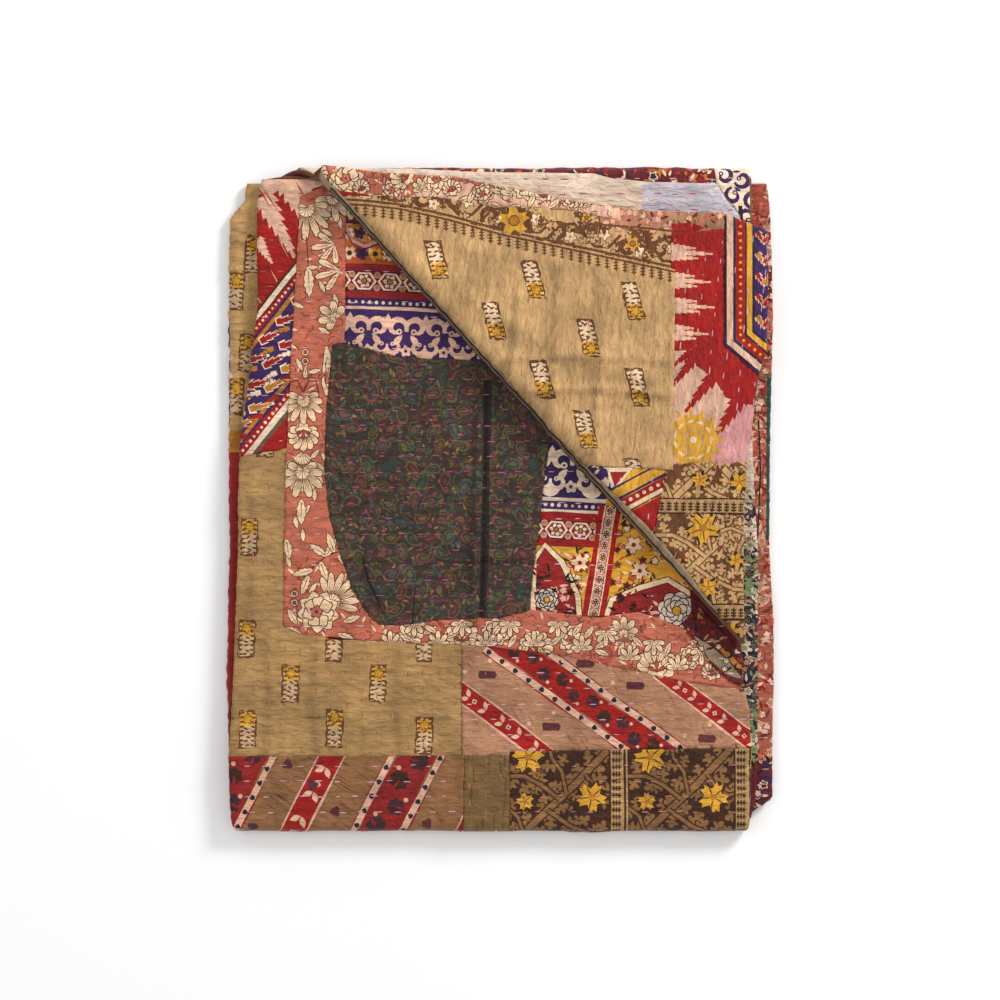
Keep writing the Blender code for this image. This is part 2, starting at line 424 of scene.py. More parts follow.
@dataclass(frozen=True)
class Quilting:
    """The running stitch: rows across the cloth, and how the cloth puckers between them."""

    row_pitch: float = 0.0127
    stitch: float = 0.0070
    step: float = 0.0148
    puff: float = 0.00075
    ripple: float = 0.0016
    sag: float = 0.0015

    def relief(self, x: np.ndarray, v: np.ndarray) -> np.ndarray:
        """How far the quilted cloth stands off its base.

        Args:
            x: places across.
            v: lengths along the cloth.

        Returns:
            Heights in metres, none below zero.
        """
        at = np.stack([x, v], axis=1)
        row = v / self.row_pitch + 0.10 * wavy(at, 22, 3.0)
        between = np.abs(np.sin(math.pi * row)) ** 0.7
        along = np.stack([x * 0.5, v * 1.15], axis=1)
        fine = wavy(along, 118, 1.0)
        broad = wavy(at, 21, 7.0)
        height = self.puff * between + self.ripple * between * np.abs(fine) + self.sag * np.maximum(broad, -0.2)
        return np.maximum(height, 0.0)


QUILTING = Quilting()


@dataclass(frozen=True)
class Crease:
    """A crease pressed or pulled into the cloth: a soft line in the plan, raised or sunk."""

    zone: Zone
    points: tuple[tuple[float, float], ...]
    width: float
    height_mm: float

    def dark(self, plan: np.ndarray) -> np.ndarray:
        """How much painted shade darkens places on the crease's shadow side, its lower left in the plan."""
        return min(0.22, 0.10 * abs(self.height_mm)) * np.exp(-((self.away(plan + (0.9 * self.width,
            -0.7 * self.width)) / (1.1 * self.width)) ** 2))

    def lift(self, plan: np.ndarray) -> np.ndarray:
        """Heights that the crease adds at places in the plan."""
        return self.height_mm / 1000 * np.exp(-((self.away(plan) / self.width) ** 2))

    def away(self, plan: np.ndarray) -> np.ndarray:
        """How far places in the plan are from the crease's line."""
        best = np.full(len(plan), 1e9)
        for a, b in zip(self.points, self.points[1:]):
            a, d = np.array(a), np.subtract(b, a)
            t = np.clip(((plan - a) @ d) / (d @ d), 0, 1)
            best = np.minimum(best, np.hypot(*(plan - a - t[:, None] * d).T))
        return best


CREASES = (
    Crease(Zone.PANEL_TWO, ((486, 392), (484, 470), (482, 540), (480, 622)), 3.0, -1.3),
    Crease(Zone.PANEL_TWO, ((479, 392), (477, 470), (475, 540), (473, 622)), 4.0, 2.4),
    Crease(Zone.PANEL_TWO, ((366, 556), (374, 585), (388, 612)), 4.0, 1.8),
    Crease(Zone.PANEL_TWO, ((356, 560), (364, 590), (376, 615)), 3.0, -0.9),
    Crease(Zone.PANEL_TWO, ((415, 585), (413, 622)), 3.0, -0.9),
    Crease(Zone.PANEL_TWO, ((232, 752), (330, 756), (462, 752), (600, 752), (748, 750)), 4.0, 1.1),
    Crease(Zone.PANEL_TWO, ((300, 200), (290, 330), (286, 470), (284, 630)), 3.0, 0.6),
    Crease(Zone.PANEL_TWO, ((462, 646), (464, 700), (462, 830)), 3.0, 0.6),
    Crease(Zone.PANEL_TWO, ((240, 500), (300, 510), (330, 500)), 4.0, 1.1),
    Crease(Zone.PANEL_TWO, ((450, 545), (500, 560), (530, 556)), 4.0, 1.4),
    Crease(Zone.PANEL_TWO, ((340, 470), (400, 480), (470, 472)), 4.0, 1.4),
    Crease(Zone.FLAP, ((372, 215), (440, 290), (520, 380), (610, 478), (690, 570)), 8.0, 1.4),
    Crease(Zone.FLAP, ((668, 235), (672, 330), (668, 430), (664, 560)), 3.0, 0.6),
    Crease(Zone.FLAP, ((390, 232), (470, 250), (570, 262), (668, 282)), 6.0, 0.6),
    Crease(Zone.FLAP, ((470, 300), (560, 350), (650, 380)), 9.0, 1.5),
    Crease(Zone.FLAP, ((724, 236), (726, 330), (752, 372)), 3.0, 0.5),
    Crease(Zone.FLAP, ((562, 266), (556, 340), (550, 430)), 6.0, 1.9),
    Crease(Zone.FLAP, ((604, 280), (600, 360), (592, 450)), 5.0, 1.6),
    Crease(Zone.FLAP, ((520, 300), (516, 350), (508, 380)), 5.0, 1.5),
    Crease(Zone.FLAP, ((505, 360), (580, 357), (668, 362)), 3.5, 1.4),
    Crease(Zone.FLAP, ((530, 398), (600, 395), (668, 402)), 3.5, -0.7),
    Crease(Zone.FLAP, ((530, 392), (600, 389), (668, 396)), 3.5, 1.7),
    Crease(Zone.PANEL_TWO, ((268, 640), (272, 700), (268, 750)), 5.0, 1.3),
    Crease(Zone.PANEL_TWO, ((318, 650), (314, 700), (320, 750)), 5.0, 1.3),
    Crease(Zone.PANEL_TWO, ((402, 650), (398, 700), (404, 752)), 5.0, 1.3),
    Crease(Zone.PANEL_TWO, ((250, 460), (256, 540), (252, 620)), 5.0, 1.2),
    Crease(Zone.PANEL_TWO, ((300, 712), (360, 722), (452, 718)), 4.0, 1.2),
    Crease(Zone.PANEL_ONE, ((236, 225), (234, 320), (236, 420)), 3.0, 1.0),
    Crease(Zone.PANEL_ONE, ((248, 225), (246, 320), (244, 420)), 3.0, 0.8),
)


class Sketch:
    """Collects a print's shapes in the order in which they are laid, each a closed outline with a dye."""

    def __init__(self, seed: int) -> None:
        """Starts an empty sketch with its own fixed chances."""
        self.shapes: list[tuple[np.ndarray, str]] = []
        self.dice = random.Random(seed)

    def poly(self, points: "np.ndarray | list", dye: "Dye | str") -> None:
        """Adds a filled outline."""
        self.shapes.append((np.array(points, float), dye.value if isinstance(dye, Dye) else dye))

    def turned(self, points: "np.ndarray | list", x: float, y: float, angle: float) -> np.ndarray:
        """Turns points by an angle in degrees and moves them to a place."""
        a = math.radians(angle)
        c, s = math.cos(a), math.sin(a)
        p = np.array(points, float)
        return np.stack([x + p[:, 0] * c - p[:, 1] * s, y + p[:, 0] * s + p[:, 1] * c], axis=1)

    def leaf(self, x: float, y: float, angle: float, size: tuple[float, float], dye: Dye,
            edge: Dye | None = None) -> None:
        """Adds a pointed leaf that starts at a place, with a darker edge and vein if one is named."""
        length, width = size
        for grow, colour in ((1.3, edge), (0.0, dye)):
            if colour is None:
                continue
            half = width / 2 + grow
            line = [(0, 0), (0.25, 0.75), (0.5, 1.0), (0.75, 0.62), (1, 0), (0.75, -0.62), (0.5, -1.0), (0.25, -0.75)]
            self.poly(self.turned([(u * (length + grow) - (grow / 2), w * half) for u, w in line], x, y, angle),
                colour)
        if edge is not None and width > 4.5:
            self.poly(self.turned([(0.2 * length, -0.45), (0.85 * length, 0), (0.2 * length, 0.45)], x, y, angle),
                edge)

    def petal(self, x: float, y: float, angle: float, size: tuple[float, float], dye: Dye,
            edge: Dye | None = None) -> None:
        """Adds a blunt petal that starts at a place, with its edge and fold line if an edge dye is named."""
        length, width = size
        line = [(0, 0.12), (0.35, 0.6), (0.7, 1.0), (0.93, 0.72), (1, 0), (0.93, -0.72), (0.7, -1.0), (0.35, -0.6),
            (0, -0.12)]
        for grow, colour in ((1.0, edge), (0.0, dye)):
            if colour is not None:
                self.poly(self.turned([(u * length + grow * (2 * u - 1), w * (width / 2 + grow)) for u, w in line], x,
                    y, angle), colour)
        if edge is not None and width > 4:
            for off in (-0.26, 0, 0.26) if width > 6 else (0,):
                self.poly(self.turned([(0.3 * length, off * width * 0.6 - 0.5), (0.8 * length, off * width),
                    (0.3 * length, off * width * 0.6 + 0.5)], x, y, angle), edge)

    def serrate(self, x: float, y: float, angle: float, size: tuple[float, float], dye: Dye,
            edge: Dye | None = None) -> None:
        """Adds a leaf with a toothed edge and a vein."""
        length, width = size
        for grow, colour in ((1.1, edge), (0.0, dye)):
            if colour is None:
                continue
            side = [(t * length, (math.sin(math.pi * min(1, t + 0.06)) ** 0.8 * width / 2 + grow) * (1.0 if n % 2
                else 0.72)) for n, t in enumerate(np.linspace(0, 1, 10))]
            self.poly(self.turned([*side, *[(u, -w) for u, w in reversed(side)]], x, y, angle), colour)
        if edge is not None and width > 5:
            self.poly(self.turned([(0.1 * length, -0.5), (0.9 * length, 0), (0.1 * length, 0.5)], x, y, angle), edge)

    def oak(self, x: float, y: float, angle: float, size: tuple[float, float], dye: Dye,
            edge: Dye | None = None) -> None:
        """Adds a deeply lobed leaf, with a darker edge if one is named."""
        length, width = size
        side = [(0, 0.1), (0.12, 0.18), (0.2, 0.85), (0.34, 0.9), (0.38, 0.3), (0.5, 0.3), (0.56, 1.0), (0.72, 0.9),
            (0.72, 0.28), (0.84, 0.5), (1.0, 0.2)]
        jit = [self.dice.uniform(0.8, 1.15) for _ in side]
        for grow, colour in ((1.3, edge), (0.0, dye)):
            if colour is not None:
                upper = [(u * (length + grow), w * width / 2 * j + grow) for (u, w), j in zip(side, jit)]
                self.poly(self.turned([*upper, *[(u, -w) for u, w in reversed(upper)]], x, y, angle), colour)

    def maple(self, x: float, y: float, r: float, dye: Dye) -> None:
        """Adds a jagged bloom of five lobes."""
        turn = self.dice.uniform(0, 6.28)
        ring = []
        for n in range(30):
            a = 2 * math.pi * n / 30
            reach = r * (0.56 + 0.46 * abs(math.cos(2.5 * a)) ** 0.6) * (1.0 if n % 2 else 0.78)
            ring.append((x + reach * math.cos(a + turn), y + reach * math.sin(a + turn)))
        self.poly(ring, dye)

    def disc(self, x: float, y: float, r: float, dye: Dye, edge: Dye | None = None, lobes: int = 0,
            depth: float = 0.2) -> None:
        """Adds a round spot, scalloped if it has lobes."""
        count = lobes * 4 if lobes else (8 if r < 5 else 14)
        turn = self.dice.uniform(0, 6.28)
        for grow, colour in ((1.1, edge), (0.0, dye)):
            if colour is None:
                continue
            ring = []
            for n in range(count):
                a = 2 * math.pi * n / count
                reach = (r + grow) * (1 + (depth * math.cos(lobes * a) if lobes else 0))
                ring.append((x + reach * math.cos(a + turn), y + reach * math.sin(a + turn)))
            self.poly(ring, colour)

    def stroke(self, points: "list | np.ndarray", width: "float | list", dye: Dye) -> None:
        """Adds a line of one width, or of a width at each point."""
        p = np.array(points, float)
        d = np.gradient(p, axis=0)
        d /= np.maximum(np.hypot(*d.T), 1e-6)[:, None]
        half = np.broadcast_to(np.array(width, float) / 2, (len(p),))[:, None]
        n = np.stack([-d[:, 1], d[:, 0]], axis=1)
        self.poly(np.concatenate([p + n * half, (p - n * half)[::-1]]), dye)

    def rosette(self, x: float, y: float, r: float, petals: int, dyes: tuple[Dye, Dye, Dye]) -> None:
        """Adds a flower: petals, heart and edge dyes in that order."""
        turn = self.dice.uniform(0, 360)
        for n in range(petals):
            a = turn + 360 * n / petals
            wide = 2 * math.pi * r / petals * 0.62
            self.leaf(x + 0.22 * r * math.cos(math.radians(a)), y + 0.22 * r * math.sin(math.radians(a)), a,
                (0.8 * r, wide), dyes[0], dyes[2])
        self.disc(x, y, 0.3 * r, dyes[1], dyes[2])

    def curl(self, x: float, y: float, size: float, angle: float, flip: int, dye: Dye, heart: Dye) -> None:
        """Adds a scroll: a line that swells and winds into a round end with a dark eye."""
        line, widths = [], []
        for n in range(12):
            t = n / 11
            a = math.radians(-110 + 320 * t)
            reach = size * (1 - 0.58 * t)
            line.append((reach * math.cos(a), flip * reach * math.sin(a)))
            widths.append(size * (0.16 + 0.42 * math.sin(math.pi * min(1, 0.1 + t * 0.9))))
        self.stroke(self.turned(line, x, y, angle), widths, dye)
        end = self.turned([line[-1]], x, y, angle)[0]
        self.disc(end[0], end[1], size * 0.3, dye)
        self.disc(end[0], end[1], size * 0.12, heart)

    def flame(self, x: float, y: float, angle: float, size: tuple[float, float], dye: Dye, teeth: int = 5) -> None:
        """Adds a tongue with stepped, frayed sides, as in tied and dyed yarn."""
        length, width = size
        sides = []
        for side in (1, -1):
            line = []
            for n in range(teeth):
                t = n / teeth
                half = side * width / 2 * (1 - t) ** 0.85
                line += [(t * length, half * self.dice.uniform(0.62, 0.8)),
                    (min(0.98, t + 1.15 / teeth) * length, half * self.dice.uniform(0.9, 1.1))]
            sides.append(line)
        self.poly(self.turned([*sides[0], (length, 0), *reversed(sides[1])], x, y, angle), dye)


class Ornament(Enum):
    """What a stripe of a border carries."""

    PLAIN = "plain"
    DOTS = "dots"
    SCROLL = "scroll"
    HEXAGONS = "hexagons"
    OVALS = "ovals"
    BLOOMS = "blooms"
    ARROWS = "arrows"
    TREES = "trees"
    FIGURES = "figures"


@dataclass(frozen=True)
class Band:
    """One stripe of a border: its width in plan units, its ground and what it carries."""

    width: float
    ground: Dye
    ornament: Ornament = Ornament.PLAIN
    dye: Dye = Dye.IVORY


def border(sketch: Sketch, start: tuple[float, float], angle: float, length: float, bands: tuple[Band, ...]) -> None:
    """Draws stripes side by side.

    Args:
        sketch: where the shapes go.
        start: the outer corner of the first stripe.
        angle: the way that the stripes run, in degrees, clockwise from the plan's right.
        length: how long they are.
        bands: the stripes, from the first edge across to the right of the way that they run.
    """
    across = 0.0
    place = lambda u, w: sketch.turned([(u, w)], start[0], start[1], angle)[0]
    for band in bands:
        low, high = across, across + band.width
        middle = (low + high) / 2
        edge = [(u, low + 0.5 * math.sin(u / 17)) for u in np.arange(0, length + 12, 12.0)]
        edge += [(u, high + 0.5 * math.sin(u / 13 + 1)) for u in np.arange(0, length + 12, 12.0)][::-1]
        sketch.poly(sketch.turned(edge, start[0], start[1], angle), band.ground)
        w = band.width
        if band.ornament is Ornament.DOTS:
            for u in np.arange(3, length, w * 0.85):
                sketch.disc(*place(u, middle), w * 0.22 * sketch.dice.uniform(0.8, 1.2), band.dye)
        elif band.ornament is Ornament.SCROLL:
            k = w / 50
            for u in np.arange(6, length, 38.0 * k):
                for side in (-1, 1):
                    sketch.curl(*place(u + side * 9.5 * k, low + 17 * k), 10.5 * k, angle - 90, side, band.dye,
                        band.ground)
                    sketch.curl(*place(u + side * 12 * k, low + 36 * k), 7.5 * k, angle + 90, side, band.dye,
                        band.ground)
                    sketch.leaf(*place(u + side * 4 * k, low + 24 * k), angle + 90 - side * 40, (15 * k, 6.5 * k),
                        band.dye)
                sketch.disc(*place(u, low + 40 * k), 5.2 * k, band.dye, lobes=5)
                sketch.disc(*place(u, low + 40 * k), 1.8 * k, band.ground)
                sketch.leaf(*place(u + 19 * k, low + 3 * k), angle + 90, (14 * k, 6 * k), band.dye)
                for spread in (-45, 0, 45):
                    sketch.leaf(*place(u + 19 * k, low + 50 * k), angle - 90 + spread, (15 * k, 5.5 * k), band.dye)
        elif band.ornament is Ornament.HEXAGONS:
            for u in np.arange(w * 0.6, length, w * 1.28):
                six = [(math.cos(math.radians(a)) * w * 0.62, math.sin(math.radians(a)) * w * 0.5) for a in range(0,
                    360, 60)]
                for share, dye in ((1.0, Dye.IVORY), (0.8, Dye.RED)):
                    sketch.poly(sketch.turned(np.array(six) * share, *place(u, middle), angle), dye)
                sketch.rosette(*place(u, middle), w * 0.36, 6, (Dye.IVORY, Dye.OCHRE, Dye.MAROON))
                for side in (-1, 1):
                    sketch.disc(*place(u + w * 0.64, middle + side * w * 0.32), w * 0.12, Dye.OCHRE, Dye.ORCHID)
        elif band.ornament is Ornament.OVALS:
            for u in np.arange(w * 0.8, length, w * 2.5):
                sketch.disc(*place(u, middle), w * 0.41, band.dye, lobes=3, depth=0.12)
        elif band.ornament is Ornament.BLOOMS:
            for n, u in enumerate(np.arange(w * 0.3, length, w * 0.74)):
                x, y = place(u, middle + w * (0.13 if n % 2 else -0.13))
                sketch.disc(x, y, w * sketch.dice.uniform(0.21, 0.29), (band.dye, Dye.BARK)[n % 3 == 1], lobes=7,
                    depth=0.13)
                sketch.leaf(x, y, sketch.dice.uniform(0, 360), (w * 0.34, w * 0.12), band.dye)
                sketch.leaf(x, y, sketch.dice.uniform(0, 360), (w * 0.3, w * 0.09), Dye.BRICK)
                sketch.disc(*place(u + w * 0.3, middle + w * (0.3 if n % 2 else -0.3)), w * 0.07, Dye.BLUSH)
        elif band.ornament is Ornament.ARROWS:
            for n, u in enumerate(np.arange(w * 0.6, length, w * 1.25)):
                for side in (-1, 1):
                    sketch.leaf(*place(u, middle + side * 0.5), angle + 180 - side * 42, (w * 0.52, w * 0.28),
                        band.dye)
                if n % 2:
                    sketch.disc(*place(u + w * 0.4, middle), w * 0.15, band.dye, lobes=4)
                    sketch.disc(*place(u + w * 0.4, middle), w * 0.06, Dye.INK)
        elif band.ornament is Ornament.TREES:
            for u in np.arange(w * 0.3, length, w * 0.55):
                sketch.stroke([place(u, high - 1), place(u, low + 2)], 1.4, band.dye)
                for k in (0.3, 0.52, 0.74):
                    for side in (-1, 1):
                        sketch.leaf(*place(u, low + w * k + 1.5), angle - 90 + side * 58, (w * 0.26, 1.9), band.dye)
        elif band.ornament is Ornament.FIGURES:
            for n, u in enumerate(np.arange(w * 0.4, length, w * 0.62)):
                sketch.maple(*place(u, middle), w * 0.36, (band.dye, Dye.CREAM, Dye.PURPLE)[n % 3])
                sketch.disc(*place(u, middle), w * 0.13, Dye.BARK)
                sketch.leaf(*place(u + w * 0.3, middle - w * 0.35), angle + 70, (w * 0.75, w * 0.2),
                    (Dye.CREAM, Dye.BRICK)[n % 2])
        across = high


class Prints:
    """The silks' motifs, each drawn from simple shapes with fixed chances."""

    @staticmethod
    def buti(s: Sketch, x: float, y: float, angle: float = 0.0, lean: float = 0.0, yellow: int = -1,
            pale: Dye = Dye.CREAM) -> None:
        """Adds the small woven block of the tan silk, its yellow end up (-1) or down (1)."""
        w, h = 8.6, 19.0
        jit = lambda: s.dice.uniform(-0.7, 0.7)

        def lace(left: float, top: float, right: float, bottom: float) -> np.ndarray:
            """The same box with an uneven edge."""
            rim = []
            for (x0, y0), (x1, y1) in (((left, top), (right, top)), ((right, top), (right, bottom)),
                ((right, bottom), (left, bottom)), ((left, bottom), (left, top))):
                count = max(2, int(math.hypot(x1 - x0, y1 - y0) / 3.2))
                rim += [(x0 + (x1 - x0) * n / count + 1.6 * jit(),
                    y0 + (y1 - y0) * n / count + 1.6 * jit()) for n in range(count)]
            return s.turned([(px + lean * py / h, py) for px, py in rim], x, y, angle)

        s.poly(lace(-w, -h, w, h), Dye.BROWN)
        s.poly(lace(1.6 - w, 1.8 - h, w - 1.6, h - 1.8), pale)
        low, high = sorted((yellow * (h - 1.8), yellow * h * 0.16))
        s.poly(lace(1.6 - w, low, w - 1.6, high), Dye.YELLOW)
        for n in range(8):
            t = (n - 3.5) * 4.6
            for side in (-1, 1):
                s.leaf(*s.turned([(side * (w - 0.4) + lean * t / h, t)], x, y, angle)[0],
                    angle + (180 if side > 0 else 0) + 12 * side, (5.4, 2.3), Dye.BROWN)
            s.leaf(*s.turned([(-2.5 + 3 * jit() + lean * t / h, t)], x, y, angle)[0], angle + 70 * jit(), (6.0, 2.1),
                Dye.BROWN)
        s.disc(*s.turned([(lean * yellow * 0.6, yellow * h * 0.55)], x, y, angle)[0], 3.6, Dye.YELLOW, Dye.BROWN, 5,
            0.35)

    @staticmethod
    def streaks(s: Sketch, box: tuple[float, float, float, float], dyes: tuple[str, ...], count: int,
            angle: float = 0.0) -> None:
        """Adds thick and thin yarns of a hand woven ground, as faint streaks."""
        for _ in range(count):
            x, y = s.dice.uniform(box[0], box[2]), s.dice.uniform(box[1], box[3])
            length, wide = s.dice.uniform(12, 34), s.dice.uniform(0.8, 2.0)
            s.poly(s.turned([(-length / 2, 0), (0, wide / 2), (length / 2, 0), (0, -wide / 2)], x, y,
                angle + s.dice.uniform(-4, 4)), s.dice.choice(dyes))

    @staticmethod
    def fan(s: Sketch, x: float, y: float, angle: float, spread: float, count: int, size: tuple[float, float],
            dyes: tuple[Dye, Dye] = (Dye.CREAM, Dye.RUST)) -> None:
        """Adds petals that spread from one foot, the middle ones longest."""
        for n in range(count):
            a = angle + spread * (n / max(count - 1, 1) - 0.5)
            reach = size[0] * (0.66 + 0.34 * math.cos(math.radians(a - angle)))
            s.petal(x, y, a, (reach, size[1]), *dyes)

    @staticmethod
    def shell(s: Sketch, x: float, y: float, angle: float, r: float) -> None:
        """Adds a half round bloom of broad petals with a ruffled heart."""
        Prints.fan(s, x, y, angle, 185, 9, (r * 1.25, r * 0.44))
        s.disc(x, y, r * 0.38, Dye.CREAM, Dye.RUST, 6, 0.2)
        Prints.fan(s, x, y, angle, 120, 3, (r * 0.5, r * 0.14), (Dye.ROSE, Dye.RUST))

    @staticmethod
    def peony(s: Sketch, x: float, y: float, r: float) -> None:
        """Adds a full ruffled bloom, its petals' edges drawn in brown."""
        s.disc(x, y, r, Dye.CREAM, Dye.RUST, 9, 0.13)
        for n in range(7):
            a = 51.4 * n + 15
            c, w = math.cos(math.radians(a)), math.sin(math.radians(a))
            s.disc(x + c * r * 0.5, y + w * r * 0.5, r * 0.3, Dye.CREAM, Dye.RUST, 4, 0.14)
            s.leaf(x + c * r * 0.72, y + w * r * 0.72, a, (r * 0.26, 1.0), Dye.RUST)
        s.disc(x - r * 0.1, y, r * 0.27, Dye.SALMON, Dye.RUST, 5, 0.2)
        s.disc(x - r * 0.1, y, r * 0.09, Dye.RUST)

    @staticmethod
    def chain(s: Sketch, x: float, y: float, angle: float, count: int) -> None:
        """Adds a string of rings with a drop at its end."""
        for n in range(count):
            px, py = s.turned([(n * 9.0, 0)], x, y, angle)[0]
            s.disc(px, py, 3.4, Dye.CREAM, Dye.RUST)
            s.disc(px, py, 1.3, Dye.ROSE, Dye.RUST)
        s.petal(*s.turned([(count * 9.0 - 4, 0)], x, y, angle)[0], angle, (12, 4.6), Dye.CREAM, Dye.RUST)

    @staticmethod
    def grasses(s: Sketch, box: tuple[float, float, float, float], count: int) -> None:
        """Adds the fine brown curls and rosy leaves that fill a flowered ground."""
        for n in range(count):
            x, y = s.dice.uniform(box[0], box[2]), s.dice.uniform(box[1], box[3])
            a = s.dice.uniform(0, 360)
            if n % 3:
                s.leaf(x, y, a, (s.dice.uniform(6, 11), 2.4), s.dice.choice((Dye.ROSE, Dye.ROSE, Dye.CREAM)))
            else:
                s.stroke(s.turned([(0, 0), (4, 1.6), (7, 0.4), (8, -2.4)], x, y, a), 0.9, Dye.RUST)

    @staticmethod
    def paisleys(s: Sketch, box: tuple[float, float, float, float]) -> None:
        """Fills a dark ground with muted paisleys and leaves."""
        dyes = (Dye.MOSS, Dye.DUSK, Dye.SLATE, Dye.TEAL, Dye.UMBER, Dye.FERN, Dye.WINE)
        drop = np.array([(0, 10), (3.2, 8.6), (5.4, 4.6), (5.6, 0.4), (3.6, -4.2), (-0.6, -8), (-5.6, -10.4),
            (-7.6, -8.2), (-6.4, -6.6), (-4.6, -6.2), (-4.2, -3), (-5.2, 2.4), (-3.4, 7.8)])
        for row, y in enumerate(np.arange(box[1], box[3], 18.0)):
            for n, x in enumerate(np.arange(box[0] + (10 if row % 2 else 0), box[2], 20.0)):
                dye, other, third = dyes[(n + row * 2) % 7], dyes[(n * 3 + row + 1) % 7], dyes[
                    (n * 5 + row * 3 + 2) % 7]
                jx, jy, turn = x + s.dice.uniform(-3, 3), y + s.dice.uniform(-3, 3), s.dice.uniform(-40,
                    40) + 90 * ((n + 2 * row) % 4)
                for k in range(13):
                    s.leaf(jx + s.dice.uniform(-12, 12), jy + s.dice.uniform(-11, 11), s.dice.uniform(0, 360),
                        (s.dice.uniform(3.5, 8.0), 2.3), (*dyes, Dye.CLAY)[(n + k + row) % 8])
                size = s.dice.uniform(0.85, 1.1)
                for share, colour in ((1.0, dye), (0.74, Dye.CHARCOAL), (0.52, other)):
                    s.poly(s.turned(drop * share * size, jx, jy, turn), colour)
                s.leaf(*s.turned([(0.5, 4 * size)], jx, jy, turn)[0], turn - 100, (8 * size, 2.2), third)
                s.disc(jx + s.dice.uniform(8, 12), jy + s.dice.uniform(-8, 8), 2.0, third, lobes=4)

    @staticmethod
    def orchard(s: Sketch, tiles: tuple[tuple[float, float, float], ...], size: float, leaf: Dye, gap: Dye,
            blooms: tuple[tuple[float, float, float], ...] = ((-30, -40, 16), (-33, 2, 9), (30, -2, 15), (-2, 48, 10),
            (50, 44, 12))) -> None:
        """Fills square tiles with a slanting branch, lobed leaves along it and maple shaped blooms.

        Args:
            s: where the shapes go.
            tiles: each tile's middle and its turn in degrees.
            size: a tile's side.
            leaf: the dye of branch and leaves.
            gap: the ground's dye, drawn round the blooms.
            blooms: places in a hundredth of a tile, and radii.
        """
        k = size / 100
        branches = (([(-54, 50), (-20, 18), (14, -14), (50, -52)], 6.0),
            ([(-12, 10), (8, 24), (30, 34), (54, 36)], 3.4), ([(0, 0), (-18, -14), (-34, -22), (-54, -22)], 3.4),
            ([(24, -24), (34, -10), (44, -4), (54, -6)], 2.8), ([(-34, 32), (-40, 16), (-50, 8)], 2.8),
            ([(6, -6), (2, -26), (-8, -40), (-10, -52)], 2.8), ([(14, 28), (8, 42), (12, 54)], 2.8))
        for cx, cy, turn in tiles:
            at = lambda u, w: s.turned([(u * k, w * k)], cx, cy, turn)[0]
            for line, _ in branches:
                for (x0, y0), (x1, y1) in zip(line, line[1:]):
                    way = math.degrees(math.atan2(y1 - y0, x1 - x0))
                    for step in range(max(1, round(math.hypot(x1 - x0, y1 - y0) / 15))):
                        t = (step + 0.4) * 15 / math.hypot(x1 - x0, y1 - y0)
                        for side in (-1, 1):
                            a = way + side * s.dice.uniform(42, 72) + turn
                            s.oak(*at(x0 + (x1 - x0) * t, y0 + (y1 - y0) * t), a,
                                (s.dice.uniform(13, 18) * k, 11.5 * k), leaf, gap)
            for u in range(-42, 50, 28):
                s.oak(*at(u + s.dice.uniform(-6, 6), 44 + s.dice.uniform(-8, 8)), s.dice.uniform(0, 360),
                    (13 * k, 10 * k), leaf, gap)
            for line, wide in branches:
                s.stroke([at(*p) for p in line], (wide + 2.6) * k, gap)
                s.stroke([at(*p) for p in line], wide * k, leaf)
            for u, w, r in blooms:
                s.maple(*at(u, w), (r + 1.8) * k, gap)
                s.maple(*at(u, w), r * k, Dye.YELLOW)
                for n in range(5):
                    s.leaf(*at(u, w), 72 * n + 30 + turn, (r * k * 0.9, r * k * 0.08), gap)
                s.disc(*at(u, w), r * k * 0.22, Dye.OCHRE, lobes=5)

    @staticmethod
    def crumbs(s: Sketch, box: tuple[float, float, float, float], dyes: tuple[Dye, ...], count: int,
            size: float = 8.0) -> None:
        """Adds many small leaves and lobed spots, for a busy print seen small."""
        for n in range(count):
            x, y = s.dice.uniform(box[0], box[2]), s.dice.uniform(box[1], box[3])
            dye = dyes[n % len(dyes)]
            if n % 4 == 0:
                s.disc(x, y, size * 0.34, dye, dyes[(n + 1) % len(dyes)], 5, 0.25)
            else:
                s.leaf(x, y, s.dice.uniform(0, 360), (size * s.dice.uniform(0.7, 1.3), size * 0.34), dye)


def draw_nothing(s: Sketch) -> None:
    """Leaves a ground with streaks only."""
    Prints.streaks(s, (214, 452, 262, 836), ("#5E0F14", "#8E1E20"), 60, 90)


def draw_cream_flames(s: Sketch) -> None:
    """Pale frayed tongues on red, up the left side of the middle panel."""
    s.poly([(250, 150), (345, 150), (345, 178), (300, 192), (286, 184), (268, 196), (250, 190)], Dye.BLUSH)
    for x, y, angle, length, width in ((281, 172, 62, 66, 30), (262, 196, 62, 70, 24), (300, 180, 70, 50, 20),
        (256, 238, 58, 30, 14)):
        s.flame(x, y, angle, (length, width), Dye.BLUSH, 7)
    Prints.streaks(s, (255, 160, 300, 330), ("#A81F1A", "#DDBFAE"), 26, 60)


